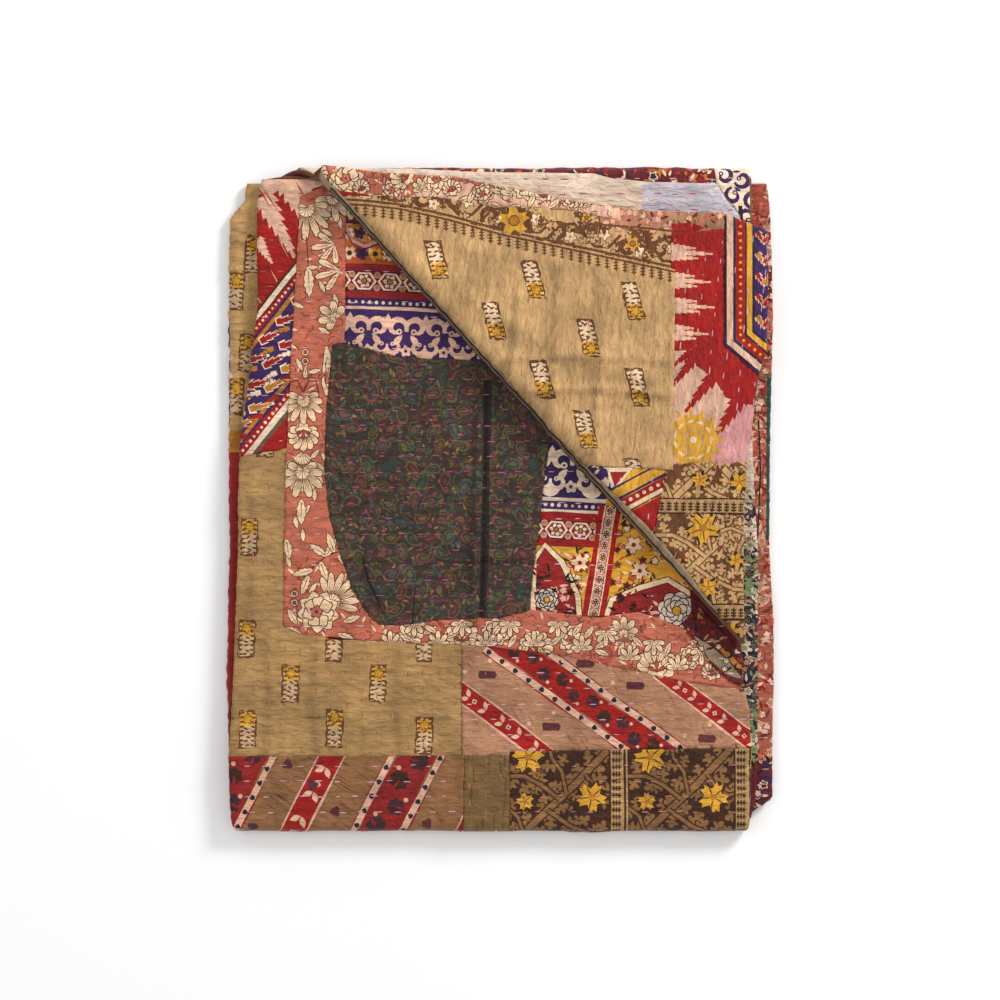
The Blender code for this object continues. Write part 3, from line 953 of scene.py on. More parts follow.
def draw_slant(s: Sketch) -> None:
    """Stripes and a purple field of tongues, slanting up to the right."""
    border(s, (165, 422), -51, 260, (Band(2, Dye.BARK), Band(5, Dye.IVORY), Band(1.4, Dye.BARK),
        Band(6, Dye.RED, Ornament.DOTS, Dye.IVORY), Band(3, Dye.PURPLE), Band(4, Dye.OCHRE), Band(46, Dye.PURPLE),
        Band(4, Dye.OCHRE), Band(3, Dye.PURPLE), Band(7, Dye.RED, Ornament.DOTS, Dye.IVORY), Band(6, Dye.IVORY),
        Band(4, Dye.PEWTER), Band(60, Dye.RED)))
    for n in range(26):
        u, w = 24 + 8.5 * n, (28, 46, 62)[n % 3]
        x, y = s.turned([(u, w)], 165, 422, -51)[0]
        a = -28 + 14 * (n % 2)
        s.flame(x - 7, y, a, (27, 11), Dye.IVORY, 4)
        s.flame(x - 6, y - 0.3, a, (23, 7.5), (Dye.RED, Dye.RED, Dye.OCHRE)[n % 3], 4)
        s.flame(x + 7, y + 6, a + 182, (15, 6), (Dye.OCHRE, Dye.IVORY, Dye.RED)[n % 3], 3)


def draw_column(s: Sketch) -> None:
    """The rosy column of hanging leaves, blooms and chains of rings."""
    Prints.grasses(s, (284, 185, 345, 480), 170)
    Prints.grasses(s, (284, 560, 380, 642), 120)
    for n in range(34):
        s.serrate(s.dice.uniform(286, 342), 190 + n * 13, s.dice.uniform(0, 360), (13, 5), Dye.CREAM, Dye.RUST)
    Prints.fan(s, 332, 196, 80, 170, 7, (26, 7))
    Prints.fan(s, 306, 206, 92, 190, 9, (34, 7))
    s.stroke([(306, 236), (307, 250), (308, 266)], 1.2, Dye.RUST)
    s.serrate(308, 268, 88, (30, 11), Dye.CREAM, Dye.RUST)
    Prints.fan(s, 334, 244, 150, 130, 4, (24, 6))
    Prints.fan(s, 340, 270, 165, 80, 3, (26, 6))
    Prints.fan(s, 336, 318, 215, 170, 5, (20, 7.5))
    Prints.chain(s, 305, 352, 90, 2)
    s.petal(326, 346, 84, (52, 17), Dye.CREAM, Dye.RUST)
    s.petal(327, 358, 84, (30, 9), Dye.CREAM, Dye.RUST)
    Prints.fan(s, 326, 372, 84, 120, 3, (11, 3), (Dye.SALMON, Dye.RUST))
    for side in (-1, 1):
        s.stroke([(303, 392), (303 + 6 * side, 380), (303 + 13 * side, 382), (303 + 15 * side, 391)], 1.6, Dye.RUST)
    Prints.fan(s, 303, 398, 90, 210, 9, (27, 6.5))
    Prints.shell(s, 303, 430, 90, 17)
    Prints.fan(s, 302, 452, 90, 96, 7, (40, 6.5))
    Prints.fan(s, 302, 470, 90, 225, 8, (29, 7.5))
    s.serrate(301, 500, 90, (26, 10), Dye.CREAM, Dye.RUST)
    s.serrate(286, 540, 80, (20, 9), Dye.CREAM, Dye.RUST)
    s.stroke([(304, 580), (314, 566), (326, 556), (338, 552)], 1.5, Dye.RUST)
    for x, y, a in ((326, 556, 215), (326, 556, 300), (334, 552, 250), (312, 570, 165), (320, 562, 70),
        (308, 576, 110), (338, 556, 40)):
        s.serrate(x, y, a, (21, 8), Dye.CREAM, Dye.RUST)
    Prints.chain(s, 294, 594, 90, 2)
    Prints.fan(s, 330, 604, -48, 120, 7, (34, 6.5))
    Prints.peony(s, 318, 612, 19)
    for x, y, a in ((300, 634, 200), (338, 634, 20), (344, 622, -20), (296, 624, 240)):
        s.serrate(x, y, a, (18, 7), Dye.CREAM, Dye.RUST)


def draw_foot_strip(s: Sketch) -> None:
    """The rosy strip that runs on to the right from the column's foot."""
    Prints.grasses(s, (366, 608, 742, 692), 420)
    for x, y, r, kind in ((368, 640, 21, 0), (410, 640, 12, 2), (436, 630, 9, 3), (462, 642, 20, 0),
        (496, 632, 15, 1), (536, 654, 21, 0), (572, 640, 15, 1), (604, 656, 9, 3), (624, 636, 13, 2),
        (657, 672, 24, 0), (690, 658, 13, 1), (712, 676, 12, 0)):
        if kind == 0:
            Prints.shell(s, x, y, -90, r * 0.9)
        elif kind == 1:
            Prints.peony(s, x, y, r * 0.86)
        elif kind == 2:
            Prints.fan(s, x, y, -90, 200, 7, (r * 1.5, r * 0.5))
        else:
            s.curl(x, y, r, 20, 1, Dye.ROSE, Dye.RUST)
    for n in range(30):
        x = 378 + n * 11.5
        s.serrate(x, 640 + 8 * math.sin(n) + (x > 560) * (x - 560) * 0.16, s.dice.uniform(0, 360), (15, 6), Dye.CREAM,
            Dye.RUST)
    for n in range(14):
        x = 390 + n * 24
        Prints.fan(s, x, (646, 622)[n % 2] + (x > 560) * (x - 560) * 0.2, (-90, 90)[n % 2], 150, 5, (15, 4.6))


def draw_charcoal(s: Sketch) -> None:
    """The dark cloth's muted paisleys, with painted shade down its creases."""
    Prints.paisleys(s, (322, 340, 560, 632))
    # Painted shade: a dark band, then a darker line, down the deep crease.
    s.stroke([(488, 380), (486, 470), (485, 540), (482, 626)], [9.0, 7.0, 8.5, 6.5], Dye.CREASE_SHADE)
    s.stroke([(487, 380), (485, 470), (484, 540), (481, 626)], [4.6, 3.2, 4.2, 3.0], Dye.INK)
    # Painted shade: dark lines along two smaller creases.
    s.stroke([(362, 556), (368, 580), (380, 606)], [1.2, 2.4, 1.2], Dye.INK)
    s.stroke([(415, 588), (412, 624)], [1.2, 2.0], Dye.INK)


def draw_frieze(s: Sketch) -> None:
    """Borders above the dark cloth."""
    border(s, (330, 200), 2.5, 200, (Band(22, Dye.MAROON, Ornament.FIGURES, Dye.ROSE),
        Band(19, Dye.OCHRE, Ornament.FIGURES, Dye.ORANGE), Band(21, Dye.ORANGE, Ornament.FIGURES, Dye.YELLOW),
        Band(7, Dye.BRICK), Band(20, Dye.MAROON, Ornament.HEXAGONS), Band(7, Dye.BRICK),
        Band(8, Dye.PURPLE, Ornament.DOTS, Dye.IVORY), Band(3.5, Dye.BLUSH),
        Band(50, Dye.PURPLE, Ornament.SCROLL, Dye.BLUSH)))
    s.stroke([(345, 226), (352, 240), (364, 246), (380, 240), (392, 246)], 3.4, Dye.ORCHID)
    s.stroke([(345, 230), (352, 243), (364, 249), (380, 243), (392, 249)], 1.2, Dye.NAVY)


def draw_frieze_low(s: Sketch) -> None:
    """Borders, pointed arches and a rose to the right of the dark cloth."""
    border(s, (526, 440), 3.5, 130, (Band(55, Dye.PURPLE, Ornament.SCROLL, Dye.IVORY), Band(4, Dye.IVORY),
        Band(8, Dye.PURPLE, Ornament.DOTS, Dye.IVORY), Band(3, Dye.IVORY), Band(8, Dye.RED),
        Band(19, Dye.MAROON, Ornament.HEXAGONS), Band(7, Dye.RED), Band(80, Dye.YELLOW)))
    s.poly([(608, 470), (760, 560), (760, 640), (600, 620)], Dye.YELLOW)
    Prints.crumbs(s, (532, 548, 596, 606), (Dye.OCHRE, Dye.CREAM, Dye.BARK, Dye.ORANGE, Dye.BROWN), 60, 9)
    Prints.crumbs(s, (612, 505, 700, 596), (Dye.OCHRE, Dye.CREAM, Dye.BARK, Dye.ORANGE, Dye.BROWN), 110, 9)
    for x, y in ((580, 563), (640, 571), (634, 545)):
        s.maple(x, y, 11, Dye.BRICK)
        s.maple(x, y, 9.5, Dye.CREAM)
        s.disc(x, y, 2.4, Dye.RED)
    for line in ([(533, 622), (534, 560), (545, 545), (562, 562), (578, 596), (580, 624)],
        [(604, 624), (612, 600), (640, 588), (668, 580), (694, 596), (706, 630)]):
        s.poly(line, Dye.BRICK)
        s.stroke(line, 7.4, Dye.BARK)
        s.stroke(line, 5.2, Dye.CREAM)
    Prints.crumbs(s, (536, 572, 572, 618), (Dye.RED, Dye.INK, Dye.RED, Dye.INK, Dye.BLUSH), 46, 9)
    Prints.crumbs(s, (614, 596, 700, 632), (Dye.RED, Dye.INK, Dye.RED, Dye.INK, Dye.BLUSH), 80, 9)
    for x, y, r in ((547, 600, 13), (677, 611, 21)):
        for share in (1.0, 0.72, 0.46):
            for n in range(8):
                a = 45 * n + 60 * share
                c, w = math.cos(math.radians(a)), math.sin(math.radians(a))
                s.disc(x + c * r * share * 0.62, y + w * r * share * 0.62, r * 0.29 * (0.5 + 0.5 * share), Dye.MILK,
                    Dye.INK)
        s.disc(x, y, r * 0.2, Dye.YELLOW, Dye.BARK)
    s.poly([(690, 590), (760, 590), (760, 700), (694, 640)], Dye.MAROON)
    border(s, (622, 508), 99, 120, (Band(5.5, Dye.RED), Band(1.2, Dye.CREAM), Band(9, Dye.MAROON, Ornament.HEXAGONS),
        Band(1.2, Dye.CREAM), Band(5.5, Dye.RED)))


def draw_tan_left(s: Sketch) -> None:
    """Tan silk with small blocks, lower left."""
    Prints.streaks(s, (225, 450, 470, 760), ("#A1824F", "#C2A26C"), 60)
    for x, y in ((249, 537), (246, 639), (247, 730), (290, 684), (334, 643), (334, 729), (378, 684), (424, 643),
        (424, 736), (265, 438)):
        Prints.buti(s, x, y, 2, pale=Dye.BISCUIT)


def draw_candy(s: Sketch) -> None:
    """Red bands between dotted cream ones on a tan pink ground, running down to the right."""
    Prints.streaks(s, (462, 640, 762, 756), ("#A8765E", "#C29478", "#A06A62"), 90, 60)
    dotted = Band(1.2, Dye.BRICK), Band(6.5, Dye.BLUSH, Ornament.OVALS, Dye.NAVY), Band(1.2, Dye.BRICK)
    thin = Band(1.6, Dye.BLUSH)
    border(s, (507, 618), 35.6, 330, (*dotted, Band(25, Dye.RED, Ornament.BLOOMS, Dye.PLUM), *dotted))
    border(s, (450, 671), 37, 160, (thin, Band(17, Dye.RED, Ornament.ARROWS, Dye.BLUSH), thin))
    border(s, (664, 663), 37.5, 190, (thin, Band(15, Dye.RED, Ornament.ARROWS, Dye.BLUSH), thin))
    for x, y in ((487, 675), (551, 727), (635, 686), (707, 739), (585, 664), (748, 688)):
        s.disc(x - 5, y, 3.8, Dye.WINE, lobes=4, depth=0.1)
        s.poly([(x - 8, y - 4), (x + 8, y - 3.4), (x + 10, y), (x + 8, y + 4), (x - 8, y + 4)], Dye.WINE)
        s.disc(x - 22, y - 3, 2.2, Dye.BLUSH)
        s.disc(x + 3, y - 14, 2.0, Dye.BLUSH)


def draw_candy_foot(s: Sketch) -> None:
    """The same cloth turned the other way along the front, in darker dyes than the candy patch: painted shade of the
    dimmer front strip.
    """
    Prints.streaks(s, (226, 756, 464, 872), ("#7E5238", "#A98562", "#8E5A4C", "#6E4430"), 130, 34)
    dotted = Band(1.2, Dye.BRICK), Band(6.5, Dye.BLUSH, Ornament.OVALS, Dye.NAVY), Band(1.2, Dye.BRICK)
    thin = Band(1.8, Dye.BLUSH)
    dark = Band(35, Dye.BRICK, Ornament.BLOOMS, Dye.PLUM)
    border(s, (170, 872), -63, 170, (dark, *dotted))
    border(s, (258, 872), -63, 170, (thin, Band(22, Dye.RED, Ornament.ARROWS, Dye.BLUSH), thin))
    border(s, (328, 872), -63, 170, (*dotted, dark, *dotted))
    border(s, (434, 872), -63, 170, (thin, dark))
    for x, y in ((287, 765), (335, 812), (252, 828), (427, 824), (312, 786)):
        s.disc(x, y, 5.0, Dye.WINE, lobes=3, depth=0.2)


def draw_orchard_foot(s: Sketch) -> None:
    """Brown and yellow branches along the front."""
    Prints.orchard(s, ((560, 800, 0), (682, 800, 0), (560, 900, 180), (682, 900, 180), (790, 800, 0)), 106, Dye.MOCHA,
        Dye.BARK)
    for x in (608, 733):
        border(s, (x + 20, 735), 90, 140, (Band(2, Dye.TAN), Band(2, Dye.BARK),
            Band(13, Dye.TAN, Ornament.TREES, Dye.BARK), Band(2, Dye.BARK)))


def draw_olive(s: Sketch) -> None:
    """The plain olive silk's streaks."""
    Prints.streaks(s, (455, 745, 515, 872), ("#86683C", "#68502C"), 50, 90)


COMB_LINE = ((330, 207), (365, 209), (400, 213), (450, 224), (500, 238), (560, 251), (620, 264), (690, 279))


def draw_flap_tan(s: Sketch) -> None:
    """Tan silk of the turned corner, its rows running down, with a comb along its upper edge."""
    Prints.streaks(s, (340, 200, 680, 480), ("#B3935F", "#CFB17E"), 80, 96)
    s.stroke([(x, y - 2.5) for x, y in COMB_LINE], 2.2, Dye.BROWN)
    for n in range(37):
        x = 348 + n * 8.9
        y = float(np.interp(x, *zip(*COMB_LINE))) - 2
        s.stroke([(x, y), (x + 0.5, y + 5), (x + 0.5, y + 11)], 2.0, Dye.BROWN)
        for k in (3, 6, 9):
            s.leaf(x - 3, y + k, 0, (6.6, 2.1), Dye.BROWN)
    for x, y in ((437, 261), (533, 281), (494, 322), (632, 302), (588, 339), (542, 380), (637, 388), (585, 430),
        (635, 478)):
        Prints.buti(s, x, y, 0, 4.5, 1)


def draw_flap_band(s: Sketch) -> None:
    """The brown leafy border along the turned corner's upper edge."""
    s.poly([(300, 180), (760, 180), (760, 300), (300, 300)], Dye.HONEY)
    for n in range(11):
        x = 352 + 34 * n
        y = float(np.interp(x, *zip(*COMB_LINE))) - 17
        flip = (-1) ** n
        s.stroke([(x - 20, y + 9 * flip), (x - 8, y + 6 * flip), (x + 4, y - 7 * flip), (x + 18, y - 8 * flip),
            (x + 30, y + 4 * flip)], 3.2, Dye.BROWN)
        s.curl(x + 2, y + 2 * flip - 3, 9, 60 * n, flip, Dye.BROWN, Dye.HONEY)
        for k in range(7):
            s.oak(x + s.dice.uniform(-17, 17), y + s.dice.uniform(-14, 12), s.dice.uniform(0, 360),
                (s.dice.uniform(10, 14), 7), *((Dye.BROWN,), (Dye.HONEY, Dye.BROWN))[k % 2])
        s.disc(x + 14, y + 5 * flip, 5, Dye.CREAM, Dye.BROWN, 5, 0.3)
        s.disc(x + 14, y + 5 * flip, 1.5, Dye.SALMON)
    for x, y in ((610, 224), (640, 222), (668, 222), (655, 240), (585, 224)):
        for _ in range(7):
            s.oak(x + s.dice.uniform(-16, 16), y + s.dice.uniform(-9, 9), s.dice.uniform(0, 360),
                (s.dice.uniform(11, 16), 9), Dye.BROWN)
    s.poly([(596, 190), (740, 190), (730, 236), (674, 232), (600, 224)], Dye.SAND)
    Prints.crumbs(s, (600, 204, 740, 232), (Dye.BLUSH, Dye.SALMON, Dye.OLIVE, Dye.RUST), 130, 8)
    s.poly([(670, 225), (690, 224), (704, 229), (690, 235), (672, 234)], Dye.RED)
    s.stroke([(600, 226), (640, 229), (675, 233), (730, 236)], 2.0, Dye.BROWN)
    s.stroke([(x, y - 7) for x, y in COMB_LINE], 2.4, Dye.BROWN)
    for x, y, r in ((514, 222, 16), (632, 245, 8), (586, 219, 5)):
        s.maple(x, y, r + 2.0, Dye.BROWN)
        s.maple(x, y, r, Dye.YELLOW)
        s.disc(x, y, r * 0.3, Dye.OCHRE, Dye.BROWN)


def draw_flap_top(s: Sketch) -> None:
    """The rosy and cream strip above it."""
    s.poly([(440, 150), (620, 150), (620, 230), (480, 206), (400, 204), (430, 188)], Dye.BLUSH)
    Prints.grasses(s, (300, 165, 620, 214), 240)
    for n, x in enumerate(range(318, 600, 15)):
        y = 180 + 12 * (n % 2) + (x > 440) * (x - 440) * 0.07
        r = (13, 10, 15, 9)[n % 4]
        if n % 3 == 0:
            Prints.shell(s, x, y, s.dice.uniform(-150, -30), r)
        elif n % 3 == 1:
            Prints.fan(s, x, y, s.dice.uniform(-120, -60), 170, 6, (r * 1.5, r * 0.5),
                (Dye.CREAM, Dye.RUST) if n % 2 else (Dye.SALMON, Dye.RUST))
        else:
            Prints.peony(s, x, y, r)
        s.serrate(x + 6, y + 10, s.dice.uniform(-60, 240), (15, 6), Dye.CREAM, Dye.RUST)
    s.poly([(318, 188), (340, 192), (368, 196), (372, 202), (350, 206), (326, 200)], Dye.RED)


def draw_flap_flames(s: Sketch) -> None:
    """Cream spikes on red, then red tongues on blush and a yellow sun, at the turned corner's right."""
    for y, length in ((253, 38), (281, 36), (306, 40), (333, 34)):
        for off, share in ((-5, 0.55), (0, 1.0), (5, 0.62)):
            s.flame(666, y + off, 3, (8 + length * share, 8.5), Dye.BLUSH, 5)
    s.poly([(660, 350), (676, 352), (690, 350), (706, 352), (724, 350), (748, 366), (770, 400), (770, 480),
        (660, 480)], Dye.BLUSH)
    s.poly([(716, 424), (742, 404), (770, 400), (770, 480), (704, 480)], Dye.ORCHID)
    s.poly([(700, 344), (724, 344), (775, 380), (775, 410), (742, 404), (724, 398), (712, 378), (694, 366),
        (684, 356)], Dye.RED)
    for x, y, angle, length, width in ((700, 350, 128, 48, 16), (722, 364, 128, 62, 20), (748, 386, 124, 62, 22),
        (690, 352, 140, 26, 10)):
        s.flame(x, y, angle, (length, width), Dye.RED, 7)
    for r, dye in ((25, Dye.YELLOW), (19, Dye.CREAM), (17.5, Dye.YELLOW), (11, Dye.HONEY), (9, Dye.YELLOW),
        (3.4, Dye.CREAM)):
        s.disc(692, 440, r, dye, lobes=11, depth=0.05)
    for n in range(15):
        s.leaf(692 + 24 * math.cos(n * 0.42), 440 + 24 * math.sin(n * 0.42), 24 * n, (8, 4), Dye.YELLOW)


def draw_flap_border(s: Sketch) -> None:
    """The striped border down the turned corner's right side."""
    s.poly([(720, 190), (790, 190), (790, 430), (722, 346)], Dye.PURPLE)
    for n in range(18):
        x, y = 756 + 7 * (n % 2), 212 + 10.5 * n
        s.flame(x, y, (60, -60)[n % 2], (15, 8), Dye.BLUSH, 4)
        s.flame(x, y, (60, -60)[n % 2], (12, 5), (Dye.RED, Dye.OCHRE, Dye.RED)[n % 3], 3)
    across = 0.0
    for width, dye, dots in ((2.5, Dye.NAVY, 0), (6.5, Dye.BLUSH, 0), (2.5, Dye.NAVY, 0), (9.5, Dye.RED, 1),
        (1.5, Dye.NAVY, 0), (5.5, Dye.YELLOW, 0), (2.5, Dye.NAVY, 0)):
        c = across + width / 2
        line = [(723 + c, 190), (723 + c, 300), (723 + c, 346 - 0.466 * c), (746 + c, 365 - 0.466 * c),
            (790 + c, 402 - 0.466 * c)]
        s.stroke(line, width, dye)
        if dots:
            for n in range(28):
                y = 206 + n * 7.2
                turn = max(0.0, y - (346 - 0.466 * c))
                s.disc(723 + c + 0.766 * turn, y - 0.357 * turn, 1.6, Dye.YELLOW)
        across += width


def draw_flap_orchard(s: Sketch) -> None:
    """Brown and yellow flowers at the turned corner's lower right."""
    Prints.orchard(s, ((704, 470, 0), (704, 556, 0), (704, 652, 0), (770, 520, 90)), 96, Dye.HONEY, Dye.BROWN, ())
    for x, y, r in ((699, 480, 9), (738, 482, 10), (702, 528, 17), (707, 587, 11), (735, 560, 8), (676, 565, 8),
        (730, 630, 9)):
        s.maple(x, y, r + 1.8, Dye.BARK)
        s.maple(x, y, r, Dye.YELLOW)
        for n in range(5):
            s.leaf(x, y, 72 * n + 5 * r, (r * 0.9, r * 0.09), Dye.BROWN)
        s.disc(x, y, r * 0.22, Dye.OCHRE, lobes=5)
    for y in (497, 602):
        border(s, (650, y), 1, 110, (Band(1.6, Dye.BARK), Band(13, Dye.TAN, Ornament.TREES, Dye.BARK),
            Band(1.6, Dye.BARK)))


def draw_flap_wedge(s: Sketch) -> None:
    """The pieced wedge of stripes at the middle of the turned edge."""
    s.poly([(570, 452), (614, 462), (622, 500), (600, 500)], Dye.PURPLE)
    Prints.crumbs(s, (576, 456, 612, 492), (Dye.IVORY, Dye.IVORY, Dye.YELLOW, Dye.PURPLE), 26, 9)
    s.poly([(606, 468), (632, 468), (612, 494)], Dye.IVORY)
    s.poly([(609, 472), (626, 472), (614, 487)], Dye.RED)
    border(s, (598, 494), -27, 90, (Band(2.5, Dye.PURPLE), Band(9, Dye.YELLOW), Band(3, Dye.PURPLE),
        Band(9, Dye.RED, Ornament.DOTS, Dye.IVORY), Band(4, Dye.IVORY), Band(2, Dye.MAROON), Band(50, Dye.RED)))
    s.flame(668, 506, 118, (34, 10), Dye.BLUSH, 4)
    s.flame(652, 530, 60, (34, 9), Dye.BLUSH, 4)


def draw_milk(s: Sketch) -> None:
    """The faded strip that shows behind the turned corner."""
    s.poly([(642, 160), (760, 160), (760, 254), (642, 232)], Dye.LILAC)
    Prints.streaks(s, (380, 168, 745, 240), ("#D9CBBB", "#C7B6A9", "#E8DDCD"), 60)


def draw_back_print(s: Sketch) -> None:
    """The dark busy print above the faded strip."""
    Prints.crumbs(s, (290, 150, 722, 190), (Dye.ORANGE, Dye.RED, Dye.NAVY, Dye.CREAM, Dye.OCHRE), 330, 9)


def draw_scroll_corner(s: Sketch) -> None:
    """Purple scrolls at the far right corner."""
    for n, (x, y) in enumerate(((724, 176), (742, 180), (760, 178), (733, 196), (752, 200), (745, 218), (760, 222),
        (748, 238))):
        s.curl(x, y, 8.5, 50 * n, (-1) ** n, Dye.PURPLE, Dye.IVORY)
        s.leaf(x + 8, y - 4, 70 * n, (9, 3), Dye.PURPLE)
    s.poly([(738, 206), (742, 206), (744, 250), (738, 250)], Dye.NAVY)


def draw_curl(s: Sketch) -> None:
    """The small rolled tip at the turned edge's foot."""
    Prints.crumbs(s, (684, 604, 752, 690), (Dye.BRICK, Dye.INK, Dye.OCHRE, Dye.BARK), 90, 8)
    s.poly([(694, 636), (708, 644), (724, 657), (736, 670), (742, 680), (726, 674), (709, 659)], Dye.STONE)
    s.poly([(712, 641), (730, 653), (744, 670), (738, 669), (724, 655)], Dye.OCHRE)
    Prints.crumbs(s, (692, 632, 746, 684), (Dye.MILK, Dye.INK, Dye.SAND, Dye.BRICK), 62, 7)


def draw_roll(s: Sketch) -> None:
    """The rolled edge of the turned corner: grey and tan, the grey painted shade of the rounded edge, with a painted
    shadow line along its lower side.
    """
    run = [(330 + 0.671 * t, 190 + 0.7415 * t) for t in range(0, 660, 20)]
    # Grey streaks: painted shade of the rounded edge.
    Prints.streaks(s, (320, 180, 750, 690), ("#7C7363", "#A2947C", "#6F6658"), 220, 48)
    # Painted shadow: a broad dark line along the roll's lower side.
    s.stroke([(x - 5, y + 4.4) for x, y in run], 12.0, Dye.INK)
    s.stroke([(x + 1.6, y - 1.4) for x, y in run], 2.6, Dye.BARK)


def draw_under_left(s: Sketch) -> None:
    """Tan silk of the lowest panel at the left."""
    Prints.streaks(s, (220, 180, 262, 460), ("#B08F5E", "#CFB182"), 30, 90)
    for x, y in ((252, 253), (234, 290), (246, 352), (234, 396)):
        Prints.buti(s, x, y, 4, pale=Dye.BISCUIT)
    s.poly([(214, 318), (229, 318), (229, 420), (214, 430)], Dye.PURPLE)
    Prints.crumbs(s, (222, 318, 229, 425), (Dye.IVORY, Dye.ORCHID), 24, 7)
    s.poly([(214, 430), (262, 430), (262, 452), (214, 452)], Dye.OCHRE)


def draw_under_right(s: Sketch) -> None:
    """The strip of many cloths that shows at the right."""
    for low, high, dye in ((150, 230, Dye.ROSE), (230, 242, Dye.RED), (242, 300, Dye.MAROON), (300, 366, Dye.SALMON),
        (366, 402, Dye.OLIVE), (402, 541, Dye.CORAL), (541, 762, Dye.CORAL), (762, 860, Dye.MAROON)):
        s.poly([(730, low), (790, low + 2), (790, high + 2), (730, high)], dye)
    Prints.crumbs(s, (740, 174, 782, 762), (Dye.BLUSH, Dye.RUST, Dye.SALMON, Dye.BRICK, Dye.SAND, Dye.BLUSH), 820,
        9.6)
    Prints.crumbs(s, (740, 762, 782, 816), (Dye.PURPLE, Dye.INK, Dye.BLUSH), 60, 9)
    s.poly([(768.5, 376), (774, 376), (774, 540), (767.5, 540)], Dye.TEAL)
    s.stroke([(760, 420), (762, 470), (759, 540)], 1.6, Dye.INK)


def draw_low_right(s: Sketch) -> None:
    """Green and white print of the middle panel's lowest ply."""
    for low, high, dye in ((440, 556, Dye.MILK), (556, 607, Dye.GREEN), (607, 640, Dye.NAVY), (640, 652, Dye.MILK),
        (652, 700, Dye.NAVY), (700, 762, Dye.GREEN), (762, 860, Dye.MAROON)):
        s.poly([(730, low), (774, low), (774, high), (730, high)], dye)
    Prints.crumbs(s, (740, 480, 762, 762), (Dye.SAND, Dye.INK, Dye.PEWTER, Dye.NAVY, Dye.GREEN, Dye.MILK), 330, 8)


class Repeat(Enum):
    """The plain repeats on the throw's underside."""

    STRIPES = "stripes"
    FLOWERS = "flowers"
    BLOCKS = "blocks"
    BRANCHES = "branches"


def field_of(name: Repeat) -> Callable[[Sketch], None]:
    """Chooses a plain repeat for the throw's underside.

    Args:
        name: which repeat.

    Returns:
        A function that draws it over its part of the underside.
    """

    def draw(s: Sketch) -> None:
        """Draws the repeat."""
        if name is Repeat.STRIPES:
            for n in range(-2, 7):
                border(s, (200 + n * 76, 1100), -62, 300,
                    (Band(2, Dye.BLUSH), Band(22, Dye.BRICK, Ornament.ARROWS, Dye.BLUSH), Band(2, Dye.BLUSH)))
        elif name is Repeat.FLOWERS:
            for n, y in enumerate(np.arange(860, 1150, 56.0)):
                for x in np.arange(516, 790, 60.0):
                    Prints.peony(s, x + 14 * (n % 2), y, 15)
                    Prints.fan(s, x + 30, y + 24, -90, 200, 5, (20, 7))
        elif name is Repeat.BLOCKS:
            for row, y in enumerate(np.arange(1110, 1530, 46.0)):
                for x in np.arange(250 + (44 if row % 2 else 0), 500, 88.0):
                    Prints.buti(s, x, y, 3)
        else:
            Prints.orchard(s, tuple((x, y, 0) for x in (570, 716) for y in (1206, 1350, 1490)), 142, Dye.TAN,
                Dye.BARK)

    return draw


@dataclass(frozen=True)
class Patch:
    """One printed silk: where it is sewn, its outline in the plan, its ground and its print."""

    name: str
    zone: Zone
    outline: tuple[tuple[float, float], ...]
    ground: Dye
    draw: Callable[[Sketch], None]
    thread: Dye = Dye.ORCHID
    level_mm: float = 0.35
    grid: float = 4.0
    upright: bool = False


